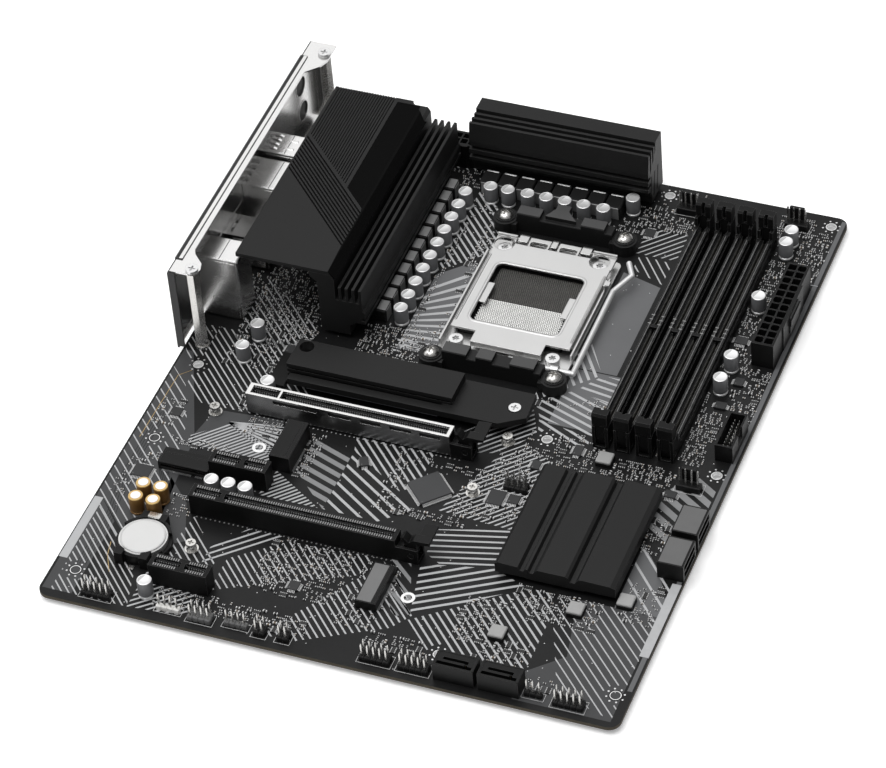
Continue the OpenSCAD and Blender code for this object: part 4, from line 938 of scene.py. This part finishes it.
coils = Shape()
for lo, hi in islands("chokes"):
    if hi.z < 4:
        coils.block((lo.x, lo.y, 0), (hi.x, hi.y, hi.z - 0.9), 0.3, 0)
        coils.block((lo.x + 0.1, lo.y + 0.1, hi.z - 1.0), (hi.x - 0.1, hi.y - 0.1, hi.z), 0.35, 2)
        continue
    coils.block((lo.x + 0.1, lo.y + 0.1, 0.2), (hi.x - 0.1, hi.y - 0.1, 3.2), 0.15, 0)
    coils.block((lo.x, lo.y, 3.25), (hi.x, hi.y, hi.z - 0.15), 0.5, 0)
    if hi.x - lo.x > hi.y - lo.y:
        coils.block((hi.x - 4.3, lo.y + 0.7, 3), (hi.x - 0.3, hi.y - 0.7, hi.z - 0.02), 0.2, 1)
        coils.block((hi.x - 0.35, lo.y + 1.2, 0), (hi.x + 0.08, hi.y - 1.2, hi.z - 0.6), 0.1, 1)
    else:
        coils.block((lo.x + 0.9, hi.y - 1.1, 3), (hi.x - 0.9, hi.y - 0.35, hi.z), 0.12, 3)
        coils.block((lo.x + 0.8, lo.y - 0.1, 0), (hi.x - 0.8, lo.y + 0.35, hi.z - 0.5), 0.1, 1)
piece("power_coils", coils, "ferrite strap_metal inductor_grey can_top", replaces=["chokes"])

# ---- processor socket

FIELD_LO, FIELD_HI = node_box("socket_contacts")
field = Shape()
field.block(FIELD_LO, FIELD_HI, 0, 0)
split_y = (FIELD_LO.y + FIELD_HI.y) / 2 - 0.8  # contacts beyond this take the painted-shade copy of the contact metal, those before it the painted-highlight copy
PITCH_X, PITCH_Y = 0.94, 0.81
rows = int((FIELD_HI.y - FIELD_LO.y - 0.6) / PITCH_Y)
cols = int((FIELD_HI.x - FIELD_LO.x - 0.8) / PITCH_X)
for j in range(rows):
    y = FIELD_LO.y + 0.6 + j * PITCH_Y
    lean = 0.22 if y > split_y else -0.22
    for i in range(cols):
        x = FIELD_LO.x + 0.6 + i * PITCH_X + (j % 2) * PITCH_X / 2
        z = FIELD_HI.z
        foot = [(px, py, z - 0.05) for px, py in rect(x - 0.26, y - 0.16, x + 0.26, y + 0.1)]
        w, d = (0.2, 0.11) if y > split_y else (0.34, 0.3)
        tip = [(px, py, z + up) for (px, py), up in zip(rect(x - w, y - d + lean, x + w, y + d + lean),
            (0.45, 0.45, 0.5, 0.5))]
        # one contact metal in two colours: painted shade on one half of the field, painted highlight on the
        # other
        field.loft([foot, tip], 1 if y > split_y else 2)
piece("contact_field", field, "chip_black contact_dark contact_bright",
    replaces=["socket_contacts"])

plate_x, plate_y = middle(*node_box("socket_body"))
plate_top = node_box("load_plate")[1].z - 1.1
rim = Shape()
outer, crest, inner = (round_rect(plate_x, plate_y, 39.4 + g, 36.8 + g, 3 + g / 2, 6) for g in (2.6, 1.2, 0.1))
rim.loft([[(x, y, plate_top + dz) for x, y in loop]
    for loop, dz in ((outer, -0.05), (crest, 0.28), (inner, 0.05), (inner, -0.3), (outer, -0.3),
    (outer, -0.05))], caps=False)
for x in (106.15, 157.45):
    rim.tube([(x, 192.6, plate_top - 0.35), (x, 214, plate_top - 0.35), (x, 235.4, plate_top - 0.35)], 0.62, 12)
piece("load_plate_rim", rim, "plate_steel", body="load_plate", sharp=60)

# ---- slots

ribs = Shape()
pads = Shape()
SLOT_X = node_box("graphics_slot")[0].x
KEY = (12.0, 15.2)  # where a slot's key stands, from its end
CONTACT_TOP = 9.45
DIMM_KEY = (209.2, 212.2)


def slot_detail(node, length, metal=False):
    """Contacts inside a slot and the comb of ribs along its top."""
    for lo, hi in islands(node):
        if hi.z < 9 or hi.x - lo.x < 20:
            continue
        _, cy = middle(lo, hi)
        for k in range(int(length) - 3):
            x = SLOT_X + 2.1 + k
            if SLOT_X + KEY[0] < x < SLOT_X + KEY[1]:
                continue
            for s in (-1, 1):
                pads.slab(x, cy + s * 0.78, 0.2, 0.16, 5.2, CONTACT_TOP)
                # painted highlight: the comb ribs are grey on the black slot, for the light they catch
                ribs.block((x - 0.24, cy + s * 1.5, hi.z - 0.5),
                    (x + 0.24, cy + s * (2.15 if metal else 2.9), hi.z + (0.02 if metal else 0.12)), 0.05, 1)


slot_detail("graphics_slot", 89, metal=True)
slot_detail("lower_x16_slot", 89)
slot_detail("short_slots", 25)
for lo, hi in islands("dimm_slots"):
    cx, _ = middle(lo, hi)
    y = lo.y + 7.4
    while y < hi.y - 7:
        if not DIMM_KEY[0] < y < DIMM_KEY[1]:
            for s in (-1, 1):
                # the contacts deep in the slot take the darker contact colour: painted shade in the slot
                pads.block((cx + s * 0.48, y - 0.17, 3.0), (cx + s * 0.8, y + 0.17, 5.6), 0, 1)
        y += 0.85
    for s in (-1, 1):
        for k in range(8):
            y = lo.y + 12 + k * 16.4
            ribs.block((cx + s * 1.75, y, 5.5), (cx + s * 2.75, y + 14.0, 7.3), 0.12, 0)
        c = cx + s * 2.1
        # painted highlight: a thin grey line along each side of the slot top stands for light along its edges
        ribs.block((c - 0.11, lo.y + 9, 7.2), (c + 0.11, hi.y - 9, 7.36), 0, 2)
        for k in range(3):
            ribs.block((c - 0.9, 211.5 + 2.6 * k, 7.2), (c + 0.5, 211.85 + 2.6 * k, 7.4), 0, 3)
piece("slot_ribs", ribs, "slot_plastic rib_plastic ridge_plastic inductor_grey")
piece("slot_contacts", pads, "tin contact_dark")

# drive card sockets: contact rows, label panel and retention lugs
CARD_CONTACTS, CARD_KEY = 33, (24, 25, 26)
m2 = Shape()
for lo, hi in islands("m2_sockets"):
    if hi.z < 3:
        continue
    along_x = hi.x - lo.x > hi.y - lo.y
    a, b, pitch, width = (0, 1, 0.55, 0.22) if along_x else (1, 0, 0.58, 0.24)
    for k in range(CARD_CONTACTS):
        if k in CARD_KEY:
            continue
        t = lo[a] + 1.6 + k * pitch
        for u0, u1, z0, z1, mark in ((lo[b] + 1.0, lo[b] + 3.2, hi.z - 2.5, hi.z - 2.35, 1),
                (lo[b] - 0.9, lo[b] + 0.2, 0, 0.25, 2), (hi[b] - 0.2, hi[b] + 0.9, 0, 0.25, 2)):
            p, q = (t, u0), (t + width, u1)
            m2.block((p[a], p[b], z0), (q[a], q[b], z1), 0, mark)
    if along_x:
        m2.block((lo.x + 0.6, lo.y + 0.4, hi.z - 0.05), (hi.x - 0.6, hi.y - 3.2, hi.z + 0.12), 0.1, 0)
        m2.block((lo.x + 0.6, hi.y - 2.6, hi.z - 0.05), (hi.x - 0.6, hi.y - 0.6, hi.z + 0.08), 0.1, 0)
    else:
        panel = 3 if lo.y < 60 else 0
        m2.block((lo.x + 0.5, lo.y + 0.6, hi.z - 0.05), (hi.x - 2.2, hi.y - 0.6, hi.z + 0.12), 0.1, panel)
        m2.block((hi.x - 1.9, lo.y + 0.8, hi.z - 0.05), (hi.x - 0.4, hi.y - 0.8, hi.z + 0.1), 0.1, 0)
piece("card_socket_detail", m2, "black_plastic tin solder label_grey")

# ---- headers

blocks = Shape()
PINS = islands("header_pins")
BASES = islands("header_bases")
for lo, hi in BASES:
    _, cy = middle(lo, hi)
    mat = 1 if 48 < lo.x < 52 and cy < 10 else 2 if (62 < lo.x < 82 and cy < 10) else 0
    if hi.z > 5:
        blocks.block((lo.x, lo.y, 0), (hi.x, lo.y + 4.0, 3.0), 0.25, mat)
        blocks.block((lo.x + 1.5, lo.y + 3.6, 0), (hi.x - 2.2, hi.y, hi.z), 0.3, mat)
        continue
    across = max(1, round((hi.x - lo.x) / HEADER_PITCH))
    up = max(1, round((hi.y - lo.y) / HEADER_PITCH))
    dx, dy = (hi.x - lo.x) / across, (hi.y - lo.y) / up
    for i in range(across):
        for j in range(up):
            blocks.block((lo.x + i * dx + 0.02, lo.y + j * dy + 0.02, 0),
                (lo.x + (i + 1) * dx - 0.02, lo.y + (j + 1) * dy - 0.02, hi.z), 0.35, mat)
    blocks.block((lo.x + 0.3, lo.y + 0.3, 0.3), (hi.x - 0.3, hi.y - 0.3, hi.z - 0.6), 0, mat)
piece("header_blocks", blocks, "black_plastic white_plastic grey_plastic",
    replaces=["header_bases"])
pins = Shape()
for lo, hi in PINS:
    (cx, cy), half = middle(lo, hi), (hi.x - lo.x) / 2
    pins.loft([[(x, y, z) for x, y in rect(cx - h, cy - h, cx + h, cy + h)]
        for h, z in ((half, max(0.0, lo.z - 1.2)), (half, hi.z - 0.6), (half * 0.45, hi.z))])
piece("header_pin_tips", pins, "nickel", replaces=["header_pins"])
frames = Shape()
for lo, hi in BASES:
    g, w = 0.7, 0.16
    frames.ring(rect(lo.x - g - w, lo.y - g - w, hi.x + g + w, hi.y + g + w),
        rect(lo.x - g, lo.y - g, hi.x + g, hi.y + g), PRINT_LO, 0.045)
piece("header_outlines", frames, "ink_bright")

# ---- power and data sockets

power = Shape()
lo, hi = node_box("main_power_socket")
cell = 4.2
for i in range(2):
    for j in range(12):
        x0, y0 = lo.x + 0.6 + i * cell + 0.35, lo.y + 0.6 + j * cell + 0.35
        x1, y1 = x0 + cell - 0.7, y0 + cell - 0.7
        cut = (i + j) % 3 == 0
        g = 0.28
        power.ring(rect(x0 - g, y0 - g, x1 + g, y1 + g, 0.9 if cut else 0.3),
            rect(x0, y0, x1, y1, 0.7 if cut else 0.1), hi.z - 0.02, hi.z + 0.1, 0)
        cx, cy = (x0 + x1) / 2, (y0 + y1) / 2
        power.lathe((cx, cy, 3), [(0.55, 0), (0.55, 6.6), (0.3, 7.2)], 10, 1)
power.block((lo.x + 9.2, 226.4, 3), (lo.x + 10.9, 238.6, 12.2), 0.25, 0)
power.block((lo.x - 0.12, lo.y + 4, 1), (lo.x + 0.1, hi.y - 4, 2), 0, 0)
lo, hi = node_box("usb3_header")
for k in range(2):
    power.block((lo.x + 1.6 + 3.0 * k, lo.y + 1.6, 1.5), (lo.x + 2.9 + 3.0 * k, hi.y - 1.6, 2.3), 0.1, 0)
for lo, hi in islands("side_sata_ports"):
    power.block((lo.x + 0.5, lo.y + 0.6, hi.z - 0.02), (hi.x - 0.9, hi.y - 0.6, hi.z + 0.08), 0.15, 2)
    for z0 in (1.3, 5.0):
        power.block((lo.x + 3.4, lo.y + 2.2, z0 + 1.1), (hi.x - 0.6, hi.y - 2.2, z0 + 1.7), 0.1, 0)
        for k in range(7):
            y = lo.y + 3.2 + k * 1.27
            power.block((lo.x + 4.4, y, z0 + 1.0), (hi.x - 1.2, y + 0.6, z0 + 1.12), 0, 3)
for lo, hi in islands("bottom_sata_ports"):
    cx, _ = middle(lo, hi)
    power.block((cx - 4.8, lo.y + 4.4, 2), (cx + 4.8, lo.y + 5.0, hi.z - 1.4), 0.1, 0)
    for k in range(7):
        x = cx - 4.2 + k * 1.27
        power.block((x, lo.y + 4.3, 3), (x + 0.6, lo.y + 4.42, hi.z - 1.8), 0, 3)
    power.ring(rect(lo.x, lo.y, hi.x, hi.y, 0.8), rect(lo.x + 0.8, lo.y + 0.6, hi.x - 0.8, hi.y - 0.6, 0.6),
        hi.z - 0.05, hi.z + 0.15, 0)
piece("socket_detail", power, "black_plastic nickel grey_plastic gold")

# ---- rear panel

shells = Shape()
for node_name in ("audio_jack_stack", "usb_stack_low", "network_usb_stack", "usb_stack_tall"):
    lo, hi = node_box(node_name)
    back = hi.x
    shells.block((0.4, lo.y + 0.5, hi.z - 0.01), (back - 0.4, hi.y - 0.5, hi.z + 0.14), 0.12, 0)
    shells.block((back * 0.55, lo.y + 0.4, hi.z + 0.1), (back * 0.55 + 0.25, hi.y - 0.4, hi.z + 0.17), 0, 1)
    for y in (lo.y, hi.y):
        a, b = sorted((y, y + (0.14 if y > (lo.y + hi.y) / 2 else -0.14)))
        shells.block((1.2, a - 0.02, 1.6), (back - 1.0, b + 0.02, hi.z - 1.2), 0.1, 0)
        for z in (hi.z * 0.3, hi.z * 0.65):
            shells.block((back * 0.3, a - 0.12, z), (back * 0.3 + 3.4, b + 0.12, z + 1.6), 0.12, 0)
    shells.block((back - 0.02, lo.y + 0.6, 1.0), (back + 0.16, hi.y - 0.6, hi.z - 0.8), 0.1, 0)
lo, hi = node_box("usb_stack_tall")
for k in range(4):
    y = lo.y + 2.8 + k * 2.8
    shells.loft([[(x, *yz) for yz in rect(y - 0.55, z0, y + 0.55, z0 + 0.15)]
        for x, z0 in ((1.0, hi.z), (2.6, hi.z + 0.55), (4.4, hi.z + 0.5), (5.6, hi.z - 0.1))])
for k in range(2):
    y = lo.y + 4.0 + k * 5.2
    shells.block((8.2, y - 0.6, hi.z + 0.1), (12.8, y + 0.6, hi.z + 0.32), 0.1, 0)
piece("connector_shells", shells, "nickel_sheet smd_black")

ports = Shape()
BLACK, GOLD = range(2)
for z in reversed(JACK_ZS):
    for k in range(3):
        a = tau * k / 3 + 0.4
        cy, cz = JACK_Y + 1.55 * cos(a), z + 1.55 * sin(a)
        ports.block((0.5, cy - 0.18, cz - 0.18), (9.5, cy + 0.18, cz + 0.18), 0.05, GOLD)
for cy, zs in (USB_LOW, USB_TALL, USB_NETWORK):
    for z in zs:
        for k in range(4):
            y = cy - 3.5 + k * 2.33
            ports.block((-0.9, y - 0.5, z + 0.16), (7.5, y + 0.5, z + 0.33), 0.03, GOLD)
        for k in range(5):
            y = cy - 3.9 + k * 1.95
            ports.block((4.2, y - 0.22, z + 0.1), (9.0, y + 0.22, z + 0.24), 0.03, GOLD)
for k in range(8):
    y = 227.9 + k * 1.25
    ports.tube([(11.6, y, 16.4), (6.6, y, 18.6), (1.8, y, 21.6)], 0.2, 6, GOLD)
ports.block((-1.4, 265.2, 4.1), (8.6, 275.2, 5.0), 0.15, BLACK)
for k in range(9):
    ports.block((-1.2, 265.8 + k * 1.05, 4.95), (6.5, 266.2 + k * 1.05, 5.08), 0, GOLD)
piece("port_inserts", ports, "black_plastic gold")
for z, name, colour in zip(JACK_ZS, ("plastic_pink", "plastic_green", "plastic_blue"),
        ((0.62, 0.2, 0.26, 1), (0.16, 0.42, 0.1, 1), (0.06, 0.3, 0.5, 1))):
    look(name, colour, 0.4, patch=200, grain=2500, bump=0.06)
    jack = Shape()
    jack.loft([[(x, *yz) for yz in circle(JACK_Y, z, r)]
        for x, r in ((-2.88, 1.79), (-2.88, 1.5), (2.0, 1.5), (2.0, 1.79), (-2.88, 1.79))], caps=False)
    piece(name + "_collar", jack, name)
    dress_part("audio_jack_stack", name, lambda p, n: p.x < -1.3 and abs(n.x) < 0.5 and near_jack(p, z, 17))

tabs = Shape()
SHIELD_TOP = node_box("io_shield")[1].z
INNER_X = -1.4  # front of the bright inner sheet
for y0, y1, z1 in ((171.9, 184.3, 32.2), (204.2, 214.4, 16.4), (224.2, 240.4, 28.6), (244.1, 256.2, 30.4)):
    n = max(2, int((y1 - y0) / 4))
    for k in range(n):
        y = y0 + (k + 0.5) * (y1 - y0) / n
        tabs.loft([[(x, *yz) for yz in rect(y - 1.0, z1 + zz, y + 1.0, z1 + zz + 0.18)]
            for x, zz in ((INNER_X - 0.1, 0.2), (INNER_X + 0.9, 0.55), (INNER_X + 2.1, 0.95))])
for z in (3.0, SHIELD_TOP - 3.4):
    tabs.block((INNER_X - 0.02, 150, z), (INNER_X + 0.3, 169, z + 1.1), 0.2, 0)
    tabs.block((INNER_X - 0.02, 281, z), (INNER_X + 0.3, 284, z + 1.1), 0.2, 0)
tabs.block((INNER_X - 0.02, 187, 20), (INNER_X + 0.25, 222, 21.2), 0.2, 0)
for cz in (16, 29.8):
    tabs.loft([[(x, *yz) for yz in circle(289.9, cz, r)]
        for x, r in ((INNER_X - 0.02, 5.3), (INNER_X + 0.18, 5.2), (INNER_X + 0.18, 4.65),
        (INNER_X - 0.02, 4.62), (INNER_X - 0.02, 5.3))], caps=False)
tabs.block((-0.9, 157.8, 42.46), (0.68, 295.8, 42.54), 0, 0)
# painted highlight: a thin tin strip along the top edge of the black shield panel stands for light on that edge
tabs.block((-2.68, 157.8, 42.46), (-2.4, 295.8, 42.52), 0, 1)
piece("shield_tabs", tabs, "nickel_sheet tin")

# ---- heatsink details

strip = Shape()
COVER_LO, COVER_HI = node_box("rear_heatsink_cover")
floor_z = COVER_HI.z - 0.25
strip.prism([(46.7, 226.15), (57.3, 215.5), (57.3, COVER_HI.y - 2.5), (46.7, COVER_HI.y - 2.5)],
    floor_z - 0.02, floor_z + 0.12)
piece("cover_strip", strip, "strip_black")

sink = Shape()
lo, hi = node_box("top_vrm_heatsink")
for k in range(3):
    y = lo.y + 2.2 + k * 4.2
    slant = ((y, 5), (y + 1.6, 5), (y + 3.6, 17), (y + 2.0, 17))
    sink.loft([[(x, *yz) for yz in slant] for x in (hi.x - 0.02, hi.x + 0.02)])
CHIP_LO, CHIP_HI = node_box("chipset_heatsink")
for x, y in ((CHIP_LO.x + 3.5, CHIP_LO.y + 3.8), (CHIP_HI.x - 3.7, CHIP_HI.y - 3.6)):
    sink.tube([(x, y, 0.2), (x, y, 2.4)], 1.2, 12, 1)
piece("heatsink_detail", sink, "strip_black nickel")

# ---- battery

clip_shape = Shape()
HOLD_LO = node_box("battery_holder")[0]
CELL_LO, CELL_HI = node_box("coin_cell")
cell_x, cell_y = middle(CELL_LO, CELL_HI)
clip_shape.loft([[(cell_x - 2.6, y, z), (cell_x + 2.6, y, z), (cell_x + 2.6, y, z + 0.25),
    (cell_x - 2.6, y, z + 0.25)] for y, z in ((CELL_HI.y + 3.4, 4.9), (CELL_HI.y + 0.7, 4.95))][::-1], 0)
clip_shape.block((cell_x - 2.4, CELL_HI.y + 0.35, 1.7), (cell_x + 2.4, CELL_HI.y + 0.62, 5.1), 0.05, 0)
clip_shape.block((cell_x - 1.2, CELL_HI.y + 3.3, 0), (cell_x + 1.2, CELL_HI.y + 5.4, 0.3), 0.05, 0)
clip_shape.block((cell_x - 1.2, HOLD_LO.y - 1.4, 0), (cell_x + 1.2, HOLD_LO.y + 0.6, 0.3), 0.05, 0)
piece("battery_clip", clip_shape, "nickel")
crown = Shape()
crown.ring(circle(cell_x, cell_y, 8.9, 64), circle(cell_x, cell_y, 8.6, 64), CELL_HI.z - 0.05, CELL_HI.z + 0.04)
piece("cell_rim", crown, "cell_metal", body="coin_cell")

# ---- underside

under = Shape()
BOT = -BOARD_T


def joint(x, y, r=0.75, h=0.85):
    under.lathe((x, y, BOT), [(r * 0.35, -h), (r * 0.6, -h * 0.6), (r, -0.08), (r, 0.02)], 10, 0)


def solder_row(x0, y0, nx, ny, dx, dy, r=0.62):
    for i in range(nx):
        for j in range(ny):
            joint(x0 + i * dx, y0 + j * dy, r)


# middle lines of the expansion slots, with the number of joints along each
for y, n in ((123.4, 42), (62.44, 42), (82.76, 10), (21.8, 10)):
    solder_row(46, y - 1.6, n, 2, 2.0, 3.2, 0.5)
for lo, hi in islands("polymer_capacitors") + islands("audio_capacitors"):
    cx, cy = middle(lo, hi)
    joint(cx - 1.25, cy, 0.8)
    joint(cx + 1.25, cy, 0.8)
DIMM_X = 187.6  # the first memory slot
for k in range(4):
    x = DIMM_X + DIMM_PITCH * k
    for y in (150, 180, 208, 214, 244, 274):
        joint(x, y, 0.7)
SIDE = 1
for _ in range(330):
    x, y = rng.uniform(6, BOARD_W - 6), rng.uniform(6, BOARD_L - 6)
    if 96 < x < 166 and 160 < y < 268 or near_hole(Vector((x, y, 0)), 5):
        continue
    w, l = rng.choice(((1.1, 0.55), (0.55, 1.1), (1.6, 0.8)))
    under.slab(x, y, w / 2, l / 2, BOT - 0.4, BOT + 0.01, 0, SIDE)
    for s in (-1, 1):
        u0, v0, u1, v1 = (s * 0.32, -0.55, s * 0.55, 0.55) if w > l else (-0.55, s * 0.32, 0.55, s * 0.55)
        under.block((x + u0 * w, y + v0 * l, BOT - 0.42), (x + u1 * w, y + v1 * l, BOT + 0.01))
piece("underside_joints", under, "solder smd_grey")
film = Shape()
BACK_LO, BACK_HI = node_box("socket_backplate")
film.prism(round_rect(*middle(BACK_LO, BACK_HI), BACK_HI.x - BACK_LO.x + 1.2, BACK_HI.y - BACK_LO.y + 1.2, 8),
    BOT - 0.06, BOT + 0.005)
piece("backplate_film", film, "strip_black")

# ---- floor, light and camera

floor_mesh = bpy.data.meshes.new("floor")
half, z = 6.0, cad_box[0].z - 0.0002
floor_mesh.from_pydata([(-half, -half, z), (half, -half, z), (half, half, z), (-half, half, z)], [],
    [(0, 1, 2, 3)])
floor = add_object("floor", floor_mesh)
floor_paint = look("floor_paint", 0.94, 0.85, spec=0.1, vary=0.01, patch=2, grain=40, bump=0.0)
glow = next(n for n in floor_paint.node_tree.nodes if n.type == "BSDF_PRINCIPLED")
glow.inputs["Emission Color"].default_value = (1, 1, 1, 1)
glow.inputs["Emission Strength"].default_value = 0.3
floor_mesh.materials.append(floor_paint)

world = bpy.data.worlds.new("studio")
bpy.context.scene.world = world
world.use_nodes = True
wt = world.node_tree
background = next(n for n in wt.nodes if n.type == "BACKGROUND")
wcoord = wt.nodes.new("ShaderNodeTexCoord")
split = wt.nodes.new("ShaderNodeSeparateXYZ")
ramp = wt.nodes.new("ShaderNodeValToRGB")
wt.links.new(wcoord.outputs["Generated"], split.inputs[0])
wt.links.new(split.outputs["Z"], ramp.inputs[0])
wt.links.new(ramp.outputs[0], background.inputs["Color"])
ramp.color_ramp.elements[0].position, ramp.color_ramp.elements[0].color = 0.0, (0.75, 0.75, 0.76, 1)
ramp.color_ramp.elements[1].position, ramp.color_ramp.elements[1].color = 1.0, (1.0, 1.0, 1.0, 1)
for pos, value in ((0.12, 0.5), (0.3, 0.22), (0.55, 0.35), (0.8, 0.8)):
    ramp.color_ramp.elements.new(pos).color = (value, value, value * 1.01, 1)
background.inputs["Strength"].default_value = 0.6

target = (cad_box[0] + cad_box[1]) / 2


def softbox(name, azimuth, elevation, distance, size, watts):
    """A soft light that faces the board."""
    a, e = radians(azimuth), radians(elevation)
    data = bpy.data.lights.new(name, "AREA")
    data.shape, data.size, data.size_y = "RECTANGLE", size[0], size[1]
    data.energy = watts
    obj = add_object(name, data)
    away = Vector((sin(a) * cos(e), -cos(a) * cos(e), sin(e)))
    obj.location = target + away * distance
    obj.rotation_mode = "QUATERNION"
    obj.rotation_quaternion = away.to_track_quat("Z", "Y")


softbox("top_box", -40, 78, 1.6, (1.4, 1.4), 18.5)
softbox("back_box", 204, 43, 1.8, (1.7, 1.2), 6.6)
softbox("left_box", -75, 35, 1.7, (0.9, 1.2), 4)

camera_data = bpy.data.cameras.new("camera")
camera = add_object("camera", camera_data)
camera_data.sensor_width, camera_data.lens = 36.0, 170.06
camera_data.clip_start, camera_data.clip_end = 0.05, 50
RIGHT, LOOK = Vector((0.93301619, 0.3536436, -0.06646046)), Vector((-0.30039931, 0.66382765, -0.68490372))
camera.location = (0.62218, -1.00535, 1.18631)
up = RIGHT.cross(LOOK)
camera.rotation_mode = "QUATERNION"
camera.rotation_quaternion = Matrix((RIGHT, up, -LOOK)).transposed().to_quaternion()
bpy.context.scene.camera = camera
bpy.context.scene.view_settings.view_transform = "Standard"
